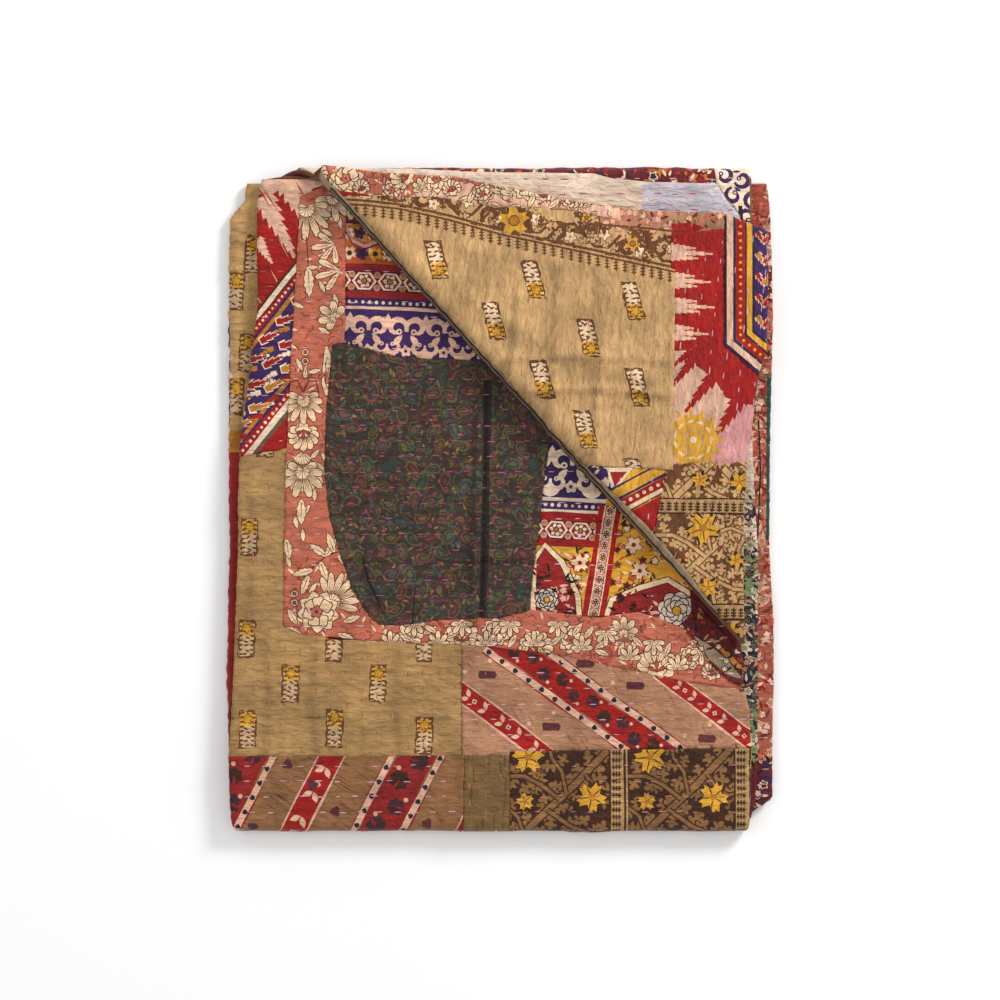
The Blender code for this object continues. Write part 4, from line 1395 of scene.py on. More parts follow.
PATCHES = (
    Patch("under_left_tan", Zone.PANEL_ONE, ((216, 176), (262, 176), (262, 452), (216, 452)), Dye.WHEAT,
        draw_under_left, Dye.SALMON, 0.30),
    Patch("under_left_red", Zone.PANEL_ONE, ((214, 452), (262, 452), (262, 836), (214, 836)), Dye.BRICK, draw_nothing,
        Dye.ROSE, 0.30, 5.0),
    Patch("under_right_strip", Zone.PANEL_ONE, ((736, 174), (780, 174), (780, 814), (736, 814)), Dye.SALMON,
        draw_under_right, Dye.ORCHID, 0.30),
    Patch("low_right_green", Zone.PANEL_TWO_LOW, ((730, 440), (764, 440), (764, 826), (730, 826)), Dye.MILK,
        draw_low_right, Dye.ORCHID, 0.25),
    Patch("flames_cream", Zone.PANEL_TWO, ((250, 150), (345, 150), (345, 200), (300, 254), (262, 308), (250, 320)),
        Dye.RED, draw_cream_flames, Dye.ROSE, 0.32),
    Patch("stripes_slant", Zone.PANEL_TWO, ((225, 460), (244, 330), (258, 306), (298, 252), (304, 252), (296, 330),
        (286, 448)), Dye.RED, draw_slant, Dye.ORCHID, 0.38),
    Patch("frieze_upper", Zone.PANEL_TWO, ((334, 205), (560, 205), (560, 372), (486, 370), (400, 360), (332, 348)),
        Dye.PURPLE, draw_frieze, Dye.ORCHID, 0.34),
    Patch("frieze_lower", Zone.PANEL_TWO, ((536, 420), (620, 420), (748, 560), (748, 690), (690, 632), (640, 616),
        (528, 616)), Dye.PURPLE, draw_frieze_low, Dye.ORCHID, 0.34),
    Patch("tan_left", Zone.PANEL_TWO, ((222, 448), (292, 446), (292, 618), (330, 640), (468, 642), (466, 758),
        (216, 760)), Dye.KHAKI, draw_tan_left, Dye.SALMON, 0.30, 3.4, True),
    Patch("candy_right", Zone.PANEL_TWO, ((462, 640), (560, 650), (700, 676), (765, 676), (765, 754), (462, 756)),
        Dye.SAND, draw_candy, Dye.ORCHID, 0.36, 3.6),
    # Its darker ground than the same cloth in candy_right is painted shade of the front strip.
    Patch("candy_foot", Zone.PANEL_TWO, ((216, 757), (464, 756), (462, 872), (212, 872)), Dye.CLAY, draw_candy_foot,
        Dye.ORCHID, 0.40, 3.8),
    Patch("olive_foot", Zone.PANEL_TWO, ((461, 755), (512, 754), (512, 872), (460, 872)), Dye.OLIVE, draw_olive,
        Dye.SALMON, 0.36, 3.6, True),
    Patch("orchard_foot", Zone.PANEL_TWO, ((510, 752), (765, 748), (765, 872), (510, 872)), Dye.BARK,
        draw_orchard_foot, Dye.SALMON, 0.42),
    Patch("rose_column", Zone.PANEL_TWO, ((300, 196), (330, 182), (346, 200), (344, 344), (334, 344), (328, 400),
        (325, 470), (331, 520), (341, 555), (354, 590), (370, 616), (384, 628), (380, 642), (300, 634), (283, 626),
        (285, 470), (292, 330)), Dye.SALMON, draw_column, Dye.ORCHID, 0.46),
    Patch("rose_foot", Zone.PANEL_TWO, ((366, 612), (470, 620), (530, 610), (600, 618), (640, 612), (700, 634),
        (745, 690), (690, 683), (620, 668), (560, 655), (470, 645), (366, 642)), Dye.SALMON, draw_foot_strip,
        Dye.ORCHID, 0.44),
    Patch("charcoal", Zone.PANEL_TWO, ((332, 344), (345, 343), (367, 348), (400, 357), (470, 360), (560, 372),
        (570, 440), (549, 443), (544, 480), (540, 520), (535, 560), (531, 590), (530, 612), (500, 618), (480, 618),
        (440, 620), (411, 624), (390, 626), (380, 625), (368, 615), (352, 590), (340, 555), (330, 520), (324, 470),
        (327, 400)), Dye.CHARCOAL, draw_charcoal, Dye.MAGENTA, 0.70, 3.4),
    Patch("curled_tip", Zone.PANEL_TWO, ((682, 624), (698, 606), (718, 626), (746, 660), (752, 692), (729, 681),
        (715, 669), (703, 653)), Dye.MAROON, draw_curl, Dye.MILK, 1.3, 3.0),
    Patch("back_print", Zone.PANEL_THREE, ((280, 140), (724, 140), (724, 190), (700, 188), (642, 187), (615, 184),
        (595, 180), (530, 178), (460, 177), (400, 173), (300, 164)), Dye.MAROON, draw_back_print, Dye.ORCHID, 0.28),
    Patch("milk_strip", Zone.PANEL_THREE, ((300, 158), (400, 168), (460, 172), (530, 173), (595, 175), (615, 179),
        (642, 182), (700, 183.5), (718, 183), (726, 199), (735, 208), (741, 216), (741, 262), (560, 240), (300, 240)),
        Dye.MILK, draw_milk, Dye.MAGENTA, 0.40),
    Patch("scroll_corner", Zone.PANEL_THREE, ((712, 140), (784, 140), (784, 300), (740, 300), (740, 216), (735, 208),
        (726, 199), (716, 183)), Dye.IVORY, draw_scroll_corner, Dye.ORCHID, 0.46),
    Patch("flap_rose", Zone.FLAP, ((290, 150), (620, 150), (620, 222), (560, 210), (490, 207), (440, 199), (350, 197),
        (330, 202), (290, 200)), Dye.SALMON, draw_flap_top, Dye.ORCHID, 0.36),
    Patch("flap_band", Zone.FLAP, ((318, 190), (350, 194), (400, 196), (440, 197), (490, 203), (560, 208), (600, 190),
        (740, 200), (730, 236), (672, 234), (670, 280), (620, 266), (560, 253), (500, 240), (450, 226), (400, 214),
        (352, 210), (318, 212)), Dye.HONEY, draw_flap_band, Dye.SALMON, 0.34),
    Patch("flap_tan", Zone.FLAP, ((318, 206), (352, 203.5), (400, 208.5), (450, 219.5), (500, 233.5), (560, 246.5),
        (620, 259.5), (674, 271), (672, 470), (590, 466), (560, 490), (300, 240)), Dye.HONEY, draw_flap_tan,
        Dye.SALMON, 0.46, 3.4),
    Patch("flap_flames", Zone.FLAP, ((670, 234), (730, 230), (730, 345), (766, 376), (770, 470), (668, 468)), Dye.RED,
        draw_flap_flames, Dye.ORCHID, 0.40),
    Patch("flap_border", Zone.FLAP, ((724, 205), (780, 215), (780, 392), (757, 376), (723, 346)), Dye.PURPLE,
        draw_flap_border, Dye.ORCHID, 0.48),
    Patch("flap_wedge", Zone.FLAP, ((540, 452), (590, 462), (670, 468), (668, 660), (600, 600)), Dye.YELLOW,
        draw_flap_wedge, Dye.ORCHID, 0.38),
    Patch("flap_orchard", Zone.FLAP, ((666, 464), (770, 462), (770, 740), (700, 720), (640, 610)), Dye.BROWN,
        draw_flap_orchard, Dye.SALMON, 0.42),
    # The roll's grey ground is painted shade of its rounded edge.
    Patch("flap_roll", Zone.FLAP, ((321, 173), (345, 199), (370, 226), (402, 263), (438, 303), (496, 367), (550, 429),
        (598, 478), (646, 525), (688, 573), (715, 609), (738, 650), (720, 690), (560, 520), (420, 372), (300, 230),
        (290, 190)), Dye.STONE, draw_roll, Dye.SALMON, 0.60, 3.4),
    Patch("underside_stripes", Zone.PANEL_TWO, ((206, 872), (500, 872), (500, 1090), (206, 1090)), Dye.TAN,
        field_of(Repeat.STRIPES), Dye.SALMON, 0.30, 9.0),
    Patch("underside_flowers", Zone.PANEL_TWO, ((500, 872), (790, 872), (790, 1140), (500, 1140)), Dye.SALMON,
        field_of(Repeat.FLOWERS), Dye.ORCHID, 0.30, 9.0),
    Patch("underside_blocks", Zone.PANEL_TWO, ((206, 1090), (500, 1090), (500, 1530), (206, 1530)), Dye.TAN,
        field_of(Repeat.BLOCKS), Dye.SALMON, 0.30, 9.0),
    Patch("underside_branches", Zone.PANEL_TWO, ((500, 1140), (790, 1140), (790, 1530), (500, 1530)), Dye.BARK,
        field_of(Repeat.BRANCHES), Dye.SALMON, 0.30, 9.0),
)


def inside(points: np.ndarray, ring: np.ndarray) -> np.ndarray:
    """Says which points lie in a closed outline."""
    x, y = points[:, 0], points[:, 1]
    hit = np.zeros(len(points), bool)
    for (x0, y0), (x1, y1) in zip(ring, np.roll(ring, -1, axis=0)):
        if y0 == y1:
            continue
        cross = (y0 > y) != (y1 > y)
        hit ^= cross & (x < (x1 - x0) * (y - y0) / (y1 - y0) + x0)
    return hit


def close_to(points: np.ndarray, ring: np.ndarray) -> np.ndarray:
    """Distances from points to a closed outline."""
    best = np.full(len(points), 1e9)
    for a, b in zip(ring, np.roll(ring, -1, axis=0)):
        d = b - a
        t = np.clip(((points - a) @ d) / max(d @ d, 1e-9), 0, 1)
        best = np.minimum(best, np.hypot(*(points - a - t[:, None] * d).T))
    return best


def dense(ring: "np.ndarray | tuple", step: float) -> np.ndarray:
    """An outline with points no further apart than a step."""
    out = []
    ring = np.array(ring, float)
    for a, b in zip(ring, np.roll(ring, -1, axis=0)):
        count = max(1, int(np.hypot(*(b - a)) / step))
        out += [a + (b - a) * n / count for n in range(count)]
    return np.array(out)


class ZoneLimits:
    """How far each stretch of cloth goes in the plan, with what laps over its hems and folds."""

    hem: float = 2.6

    def to_plan(self, points: np.ndarray) -> np.ndarray:
        """Plan places under points of the row's frame."""
        return np.stack([points[:, 0] / UNIT + PLAN_MID[0], PLAN_MID[1] - points[:, 1] / UNIT], axis=1)

    def ring(self, zone: Zone) -> np.ndarray:
        """A stretch's outline.

        Args:
            zone: the stretch.

        Returns:
            The outline in the plan.
        """
        c = CLOTH
        if zone is Zone.FLAP:
            v = np.linspace(c.third_start + 0.001, c.third_start + c.back_fold_y + c.last_reach - 0.004, 420)
            top = np.stack([np.linspace(-0.132, c.edges(v[:1])[0][0] - self.hem * UNIT, 60),
                np.full(60, c.third_start + 0.0002)], axis=1)
            left = np.concatenate([top, np.stack([c.edges(v)[0] - self.hem * UNIT, v], axis=1)])
            x = np.linspace(left[-1, 0], c.edges(v[-1:])[3][0], 420)
            end = np.stack([x, c.third_start + c.end_reach(x) + self.hem * UNIT], axis=1)
            line = np.concatenate([left, end])
            y = c.back_fold_y + c.third_start - line[:, 1]
            dx, dy = c.turn_along
            ax, ay = line[:, 0] - c.turn_at[0], y - c.turn_at[1]
            along = ax * dx + ay * dy
            reach = ax * dy - ay * dx + c.outer
            out = np.where(reach > math.pi * c.radius, math.pi * c.radius - reach,
                (math.pi - reach / c.radius) * c.outer)
            keep = reach > 0.08 * c.radius
            world = np.stack([c.turn_at[0] + dx * along + dy * (out - c.outer),
                c.turn_at[1] + dy * along - dx * (out - c.outer)], axis=1)[keep]
            return self.to_plan(world)
        if zone is Zone.PANEL_THREE:
            y = np.linspace(c.back_fold_y + 0.9 * math.pi * c.outer, 0.0, 40)
            v = c.on_cloth(zone, self.to_plan(np.stack([y * 0, y], axis=1)))[1]
            e = c.edges(v)
            left, right = e[1] + 0.004, e[3] + self.hem * UNIT
        elif zone is Zone.PANEL_ONE:
            y = np.linspace(c.first_end_y + self.hem * UNIT, c.front_fold_y + 0.003, 60)
            v = c.first_end_y - y
            e = c.edges(v)
            left, right = e[1] - 2.2 * c.side_outer, e[3] + self.hem * UNIT
        elif zone is Zone.PANEL_TWO_LOW:
            y = np.linspace(c.back_fold_y - 0.01, c.front_fold_y + 0.002, 60)
            v = c.second_start + y - c.front_fold_y
            e = c.edges(v)
            left, right = e[2] - 0.02, e[3] + self.hem * UNIT
        else:
            y = np.linspace(c.back_fold_y, c.front_fold_y - math.pi * c.outer - c.first_length + 0.002, 140)
            v = c.on_cloth(zone, self.to_plan(np.stack([y * 0, y], axis=1)))[1]
            e = c.edges(v)
            left, right = e[0] - self.hem * UNIT, e[2] + 2.2 * c.side_outer
        world = np.concatenate([np.stack([left, y], axis=1), np.stack([right, y], axis=1)[::-1]])
        return self.to_plan(world)

    def fine_points(self, zone: Zone, step: float) -> np.ndarray:
        """Extra places along hems and side folds, where the cloth bends hard."""
        c = CLOTH
        if zone in (Zone.FLAP, Zone.PANEL_THREE):
            offsets = (0.0, 1.0)
            v = np.arange(c.third_start, c.third_start + 0.38, step * UNIT)
            if zone is Zone.PANEL_THREE:
                x = c.edges(v)[3]
                y = c.back_fold_y - (v - c.third_start)
                return np.concatenate([self.to_plan(np.stack([x + o * UNIT, y], axis=1)) for o in offsets])
            return np.zeros((0, 2))
        if zone is Zone.PANEL_ONE:
            y = np.arange(c.front_fold_y, c.first_end_y, step * UNIT)
            e = c.edges(c.first_end_y - y)
            cols = [e[3], e[3] + UNIT] + [e[1] + c.side_outer * (1 - k * 0.42) for k in range(8)]
        elif zone is Zone.PANEL_TWO_LOW:
            y = np.arange(c.front_fold_y, c.back_fold_y, step * UNIT)
            e = c.edges(c.second_start + y - c.front_fold_y)
            cols = [e[3], e[3] + UNIT]
        else:
            y = np.arange(c.front_fold_y - math.pi * c.outer - c.first_length, c.back_fold_y, step * UNIT)
            v = c.on_cloth(zone, self.to_plan(np.stack([y * 0, y], axis=1)))[1]
            e = c.edges(v)
            cols = [e[0], e[0] - UNIT] + [e[2] - c.side_outer * (1 - k * 0.42) for k in range(8)]
        return np.concatenate([self.to_plan(np.stack([x, y], axis=1)) for x in cols])


LIMITS = ZoneLimits()


def add_node(tree: bpy.types.NodeTree, kind: str, links: dict | None = None, **settings: object) -> bpy.types.Node:
    """Adds a node with its settings and links.

    Args:
        tree: the tree that gets the node.
        kind: the node's type name.
        links: input name or number to an output socket, or to a value.
        settings: the node's own properties.

    Returns:
        The node.
    """
    node = tree.nodes.new(kind)
    for key, value in settings.items():
        setattr(node, key, value)
    for key, value in (links or {}).items():
        socket = node.inputs[key]
        if isinstance(value, bpy.types.NodeSocket):
            tree.links.new(value, socket)
        else:
            socket.default_value = value
    return node


@dataclass(frozen=True)
class PrintedSilk:
    """Old block printed sari silk: plain woven, washed soft, with a low sheen and worn, uneven dye."""

    name: str
    roughness: float = 0.62
    sheen: float = 0.10
    thread_mm: float = 1.15
    worn: float = 0.25

    def make(self) -> bpy.types.Material:
        """Builds the material.

        Returns:
            A material that reads the print, painted shade and all, from the mesh and adds weave, slubs, wear and
            painted shade in the crinkles.
        """
        mat = bpy.data.materials.new(self.name)
        mat.use_nodes = True
        tree = mat.node_tree
        shader = tree.nodes["Principled BSDF"]
        shader.inputs["Roughness"].default_value = self.roughness
        shader.inputs["Sheen Weight"].default_value = self.sheen
        shader.inputs["Sheen Roughness"].default_value = 0.45
        shader.inputs["Specular IOR Level"].default_value = 0.24
        dye = add_node(tree, "ShaderNodeAttribute", attribute_name="print")
        uv = add_node(tree, "ShaderNodeUVMap", uv_map="flat")
        # Threads of real silk are 0.1 mm apart, too fine to show, so the weave is drawn about 1 mm apart
        scale = add_node(tree, "ShaderNodeMapping", {"Vector": uv.outputs[0], "Scale": (1000 / self.thread_mm,) * 3})
        warp = add_node(tree, "ShaderNodeTexWave", {"Vector": scale.outputs[0], "Scale": 0.32, "Distortion": 1.6,
            "Detail": 1.0, "Detail Scale": 1.5}, wave_type="BANDS", bands_direction="X")
        weft = add_node(tree, "ShaderNodeTexWave", {"Vector": scale.outputs[0], "Scale": 0.32, "Distortion": 2.2,
            "Detail": 1.0, "Detail Scale": 1.2}, wave_type="BANDS", bands_direction="Y")
        weave = add_node(tree, "ShaderNodeMath", {0: warp.outputs["Fac"], 1: weft.outputs["Fac"]},
            operation="MULTIPLY")
        slub_map = add_node(tree, "ShaderNodeMapping", {"Vector": uv.outputs[0], "Scale": (60, 900, 1)})
        slub = add_node(tree, "ShaderNodeTexNoise", {"Vector": slub_map.outputs[0], "Scale": 1.0, "Detail": 3.0})
        blotch = add_node(tree, "ShaderNodeTexNoise", {"Vector": uv.outputs[0], "Scale": 26.0, "Detail": 5.0,
            "Roughness": 0.6})
        fray = add_node(tree, "ShaderNodeTexNoise", {"Vector": uv.outputs[0], "Scale": 420.0, "Detail": 2.0})
        tone = add_node(tree, "ShaderNodeMapRange", {"Value": blotch.outputs["Fac"], "From Min": 0.3, "From Max": 0.7,
            "To Min": 1.0 - self.worn, "To Max": 1.0 + self.worn})
        thread_tone = add_node(tree, "ShaderNodeMapRange",
            {"Value": weave.outputs[0], "To Min": 0.86, "To Max": 1.10})
        slub_tone = add_node(tree, "ShaderNodeMapRange",
            {"Value": slub.outputs["Fac"], "From Min": 0.3, "From Max": 0.7, "To Min": 0.90, "To Max": 1.10})
        a = add_node(tree, "ShaderNodeMath", {0: tone.outputs[0], 1: thread_tone.outputs[0]}, operation="MULTIPLY")
        drawn = add_node(tree, "ShaderNodeMapping", {"Vector": uv.outputs[0], "Scale": (95, 250, 1)})
        crinkle = add_node(tree, "ShaderNodeTexNoise",
            {"Vector": drawn.outputs[0], "Scale": 1.0, "Detail": 4.0, "Roughness": 0.55, "Distortion": 0.6})
        # Painted shade: the colour darkens where the crinkle noise, which also drives the soft bump, is low.
        crinkle_shade = add_node(tree, "ShaderNodeMapRange", {"Value": crinkle.outputs["Fac"], "From Min": 0.34,
            "From Max": 0.62, "To Min": 0.80, "To Max": 1.06})
        b = add_node(tree, "ShaderNodeMath", {0: a.outputs[0], 1: slub_tone.outputs[0]}, operation="MULTIPLY")
        c = add_node(tree, "ShaderNodeMath", {0: b.outputs[0], 1: crinkle_shade.outputs[0]}, operation="MULTIPLY")
        aged = add_node(tree, "ShaderNodeVectorMath", {0: dye.outputs["Color"], 1: (1.02, 0.84, 0.68)},
            operation="MULTIPLY")
        shade = add_node(tree, "ShaderNodeVectorMath", {0: aged.outputs[0], "Scale": c.outputs[0]}, operation="SCALE")
        fade = add_node(tree, "ShaderNodeMapRange", {"Value": fray.outputs["Fac"], "From Min": 0.55, "From Max": 0.8,
            "To Min": 0.0, "To Max": 0.05})
        worn = add_node(tree, "ShaderNodeMix", {"Factor": fade.outputs[0], 6: shade.outputs[0], 7: linear("#BDA58A")},
            data_type="RGBA")
        tree.links.new(worn.outputs[2], shader.inputs["Base Color"])
        height = add_node(tree, "ShaderNodeMath", {0: weave.outputs[0], 1: slub.outputs["Fac"]}, operation="ADD")
        rough = add_node(tree, "ShaderNodeMapRange", {"Value": crinkle.outputs["Fac"],
            "To Min": self.roughness - 0.12, "To Max": self.roughness + 0.16})
        tree.links.new(rough.outputs[0], shader.inputs["Roughness"])
        fine = add_node(tree, "ShaderNodeBump", {"Height": height.outputs[0], "Strength": 0.35, "Distance": 0.00018})
        soft = add_node(tree, "ShaderNodeBump", {"Height": crinkle.outputs["Fac"], "Strength": 0.9,
            "Distance": 0.0034, "Normal": fine.outputs[0]})
        tree.links.new(soft.outputs[0], shader.inputs["Normal"])
        return mat


@dataclass(frozen=True)
class Thread:
    """Twisted cotton embroidery thread: dull and soft, with a slight twist."""

    name: str
    colour: Dye

    def make(self) -> bpy.types.Material:
        """Builds the material."""
        mat = bpy.data.materials.new(self.name)
        mat.use_nodes = True
        tree = mat.node_tree
        shader = tree.nodes["Principled BSDF"]
        shader.inputs["Roughness"].default_value = 0.8
        shader.inputs["Sheen Weight"].default_value = 0.3
        where = add_node(tree, "ShaderNodeTexCoord")
        twist = add_node(tree, "ShaderNodeTexWave", {"Vector": where.outputs["Object"], "Scale": 520.0,
            "Distortion": 1.0}, wave_type="BANDS", bands_direction="DIAGONAL")
        blotch = add_node(tree, "ShaderNodeTexNoise", {"Vector": where.outputs["Object"], "Scale": 24.0})
        tone = add_node(tree, "ShaderNodeMapRange", {"Value": blotch.outputs["Fac"], "From Min": 0.35,
            "From Max": 0.65, "To Min": 0.0, "To Max": 1.0})
        mix = add_node(tree, "ShaderNodeMix", {"Factor": tone.outputs[0], 6: linear(self.colour.value, 0.65),
            7: linear(self.colour.value, 1.05)}, data_type="RGBA")
        tree.links.new(mix.outputs[2], shader.inputs["Base Color"])
        bump = add_node(tree, "ShaderNodeBump", {"Height": twist.outputs["Fac"], "Strength": 0.4, "Distance": 0.0002})
        tree.links.new(bump.outputs[0], shader.inputs["Normal"])
        return mat


def add_mesh(name: str, points: np.ndarray, faces: list, material: bpy.types.Material) -> bpy.types.Object:
    """Makes a smooth mesh object at the origin.

    Args:
        name: its name.
        points: vertices in the row's frame.
        faces: vertex numbers of each face.
        material: its material.

    Returns:
        The object, linked to the scene.
    """
    mesh = bpy.data.meshes.new(name)
    mesh.from_pydata([tuple(p) for p in points], [], faces)
    mesh.polygons.foreach_set("use_smooth", [True] * len(mesh.polygons))
    mesh.materials.append(material)
    obj = bpy.data.objects.new(name, mesh)
    bpy.context.scene.collection.objects.link(obj)
    return obj


def paint(mesh: bpy.types.Mesh, uv: np.ndarray, colours: np.ndarray, dark: np.ndarray | None = None) -> None:
    """Gives a mesh its flat cloth map and its print.

    Args:
        mesh: the mesh.
        uv: places on the flat cloth in metres, one for each vertex.
        colours: a linear colour for each face.
        dark: how much painted shade darkens each vertex.
    """
    loops = np.empty(len(mesh.loops), np.int64)
    mesh.loops.foreach_get("vertex_index", loops)
    layer = mesh.uv_layers.new(name="flat")
    layer.data.foreach_set("uv", uv[loops].astype(np.float32).ravel())
    counts = np.array([p.loop_total for p in mesh.polygons])
    shades = np.repeat(colours, counts, axis=0).astype(np.float32)
    # Painted shade is multiplied into the print's colours here.
    if dark is not None:
        shades[:, :3] *= (1 - np.clip(dark, 0, 0.5))[loops][:, None]
    mesh.color_attributes.new(name="print", type="FLOAT_COLOR", domain="CORNER").data.foreach_set("color",
        shades.ravel())


def settle(piece: bpy.types.Object) -> None:
    """Lets a piece ride on the throw's one body."""
    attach(piece, BODY)


@dataclass
class PatchWork:
    """The printed silks, each cut to its outline, with its print in its faces and its edge turned under."""

    turned_edge: float = 2.6
    turned_height: float = 0.00030
    cut_away: float = 8.0
    under_cover: float = 0.00012
    skirt_lift: float = 0.00003
    # Strength of the painted shade where the quilted cloth sinks.
    valley_shade: float = 0.09
    pieces: list[bpy.types.Object] = field(default_factory=list)

    def mesh_of(self, patch: Patch, number: int) -> tuple[np.ndarray, list, np.ndarray, np.ndarray, np.ndarray]:
        """Cuts one patch and lays it on the folds.

        Args:
            patch: the patch.
            number: its place in the list, which sets its chances.

        Returns:
            Points, faces, flat places, face colours and how dark painted shade makes each point.
        """
        ring = dense(patch.outline, 6.0)
        ring[:, 0] += 0.9 * wavy(ring, 0.045, number)
        ring[:, 1] += 0.9 * wavy(ring, 0.045, number + 40)
        limit = LIMITS.ring(patch.zone)
        sketch = Sketch(SEED + number)
        patch.draw(sketch)
        low = np.maximum(ring.min(axis=0), limit.min(axis=0))
        high = np.minimum(ring.max(axis=0), limit.max(axis=0))
        shapes = [(dense(p, 4.4), dye) for p, dye in sketch.shapes if (p.max(axis=0) > low).all()
            and (p.min(axis=0) < high).all()]
        gx, gy = np.meshgrid(np.arange(low[0], high[0], patch.grid), np.arange(low[1], high[1], patch.grid))
        grid = np.stack([gx.ravel(), gy.ravel()], axis=1)
        grid[:, 0] += (np.arange(len(grid)) // gx.shape[1] % 2) * patch.grid / 2
        extra = LIMITS.fine_points(patch.zone, patch.grid)
        grid = np.concatenate([grid, extra]) if len(extra) else grid
        grid = grid[inside(grid, ring) & inside(grid, limit)]
        points_in, edges_in = [], []
        for outline in [ring, limit, *[p for p, _ in shapes]]:
            start, count = len(points_in), len(outline)
            points_in += [Vector(p) for p in outline]
            edges_in += [(start + n, start + (n + 1) % count) for n in range(count)]
        points_in += [Vector(p) for p in grid]
        out = delaunay_2d_cdt(points_in, edges_in, [], 0, 1e-3)
        flat = np.array([p[:] for p in out[0]])
        tris = np.array([f[::-1] for f in out[2]])
        middle = flat[tris].mean(axis=1)
        kept = inside(middle, ring) & inside(middle, limit)
        covers = [np.array(p.outline, float) for p in PATCHES if p.zone is patch.zone and p.level_mm > patch.level_mm]
        for cover in covers:
            kept &= ~(inside(middle, cover) & (close_to(middle, cover) > self.cut_away))
        tris, middle = tris[kept], middle[kept]
        base = np.array(linear(patch.ground.value))
        colours = np.repeat(base[None], len(tris), axis=0)
        for outline, dye in shapes:
            near = np.flatnonzero(((middle > outline.min(axis=0)) & (middle < outline.max(axis=0))).all(axis=1))
            colours[near[inside(middle[near], outline)]] = linear(dye)
        faces = tris.tolist()
        used = sorted({i for f in faces for i in f})
        renumber = {old: new for new, old in enumerate(used)}
        faces = [[renumber[i] for i in f] for f in faces]
        plan = flat[used]
        x, v = CLOTH.on_cloth(patch.zone, plan)
        puffed = QUILTING.relief(x, v)
        lift = patch.level_mm / 1000 + puffed
        # Painted shade: darker where the quilted relief is low, along the stitch rows and in the sags.
        dark = self.valley_shade * np.exp(-puffed / 0.0004)
        edge = close_to(plan, ring)
        lift += self.turned_height * np.exp(-(((edge - self.turned_edge) / 1.6) ** 2))
        # Each crease adds its height, and painted shade on its shadow side.
        for crease in CREASES:
            if crease.zone is patch.zone:
                lift += crease.lift(plan)
                dark += crease.dark(plan)
        lift = np.maximum(lift, patch.level_mm / 1000)
        for cover in covers:
            lift = np.where(inside(plan, cover), self.under_cover, lift)
        points = CLOTH.lay(patch.zone, x, v, lift)
        once: dict[tuple[int, int], tuple[int, int]] = {}
        for f in faces:
            for a, b in zip(f, f[1:] + f[:1]):
                key = (min(a, b), max(a, b))
                once[key] = (-1, -1) if key in once else (a, b)
        rim = [e for e in once.values() if e[0] >= 0]
        rim_points = sorted({i for e in rim for i in e})
        below = {old: len(points) + n for n, old in enumerate(rim_points)}
        skirt = CLOTH.lay(patch.zone, x[rim_points], v[rim_points], np.full(len(rim_points), self.skirt_lift))
        points = np.concatenate([points, skirt])
        uv = np.stack([x, v], axis=1)
        uv = np.concatenate([uv, uv[rim_points]])
        faces += [[a, below[a], below[b], b] for a, b in rim]
        colours = np.concatenate([colours, np.repeat(base[None], len(rim), axis=0)])
        return points, faces, uv, colours, np.concatenate([dark, dark[rim_points]])

    def build(self, silk: bpy.types.Material) -> list[bpy.types.Object]:
        """Cuts and lays every patch.

        Args:
            silk: their material.

        Returns:
            The patches.
        """
        for number, patch in enumerate(PATCHES):
            points, faces, uv, colours, dark = self.mesh_of(patch, number)
            piece = add_mesh(f"patch_{patch.name}", points, faces, silk)
            paint(piece.data, uv, colours, dark)
            settle(piece)
            self.pieces.append(piece)
            LOG.info("patch %s: %d faces", patch.name, len(faces))
        return self.pieces


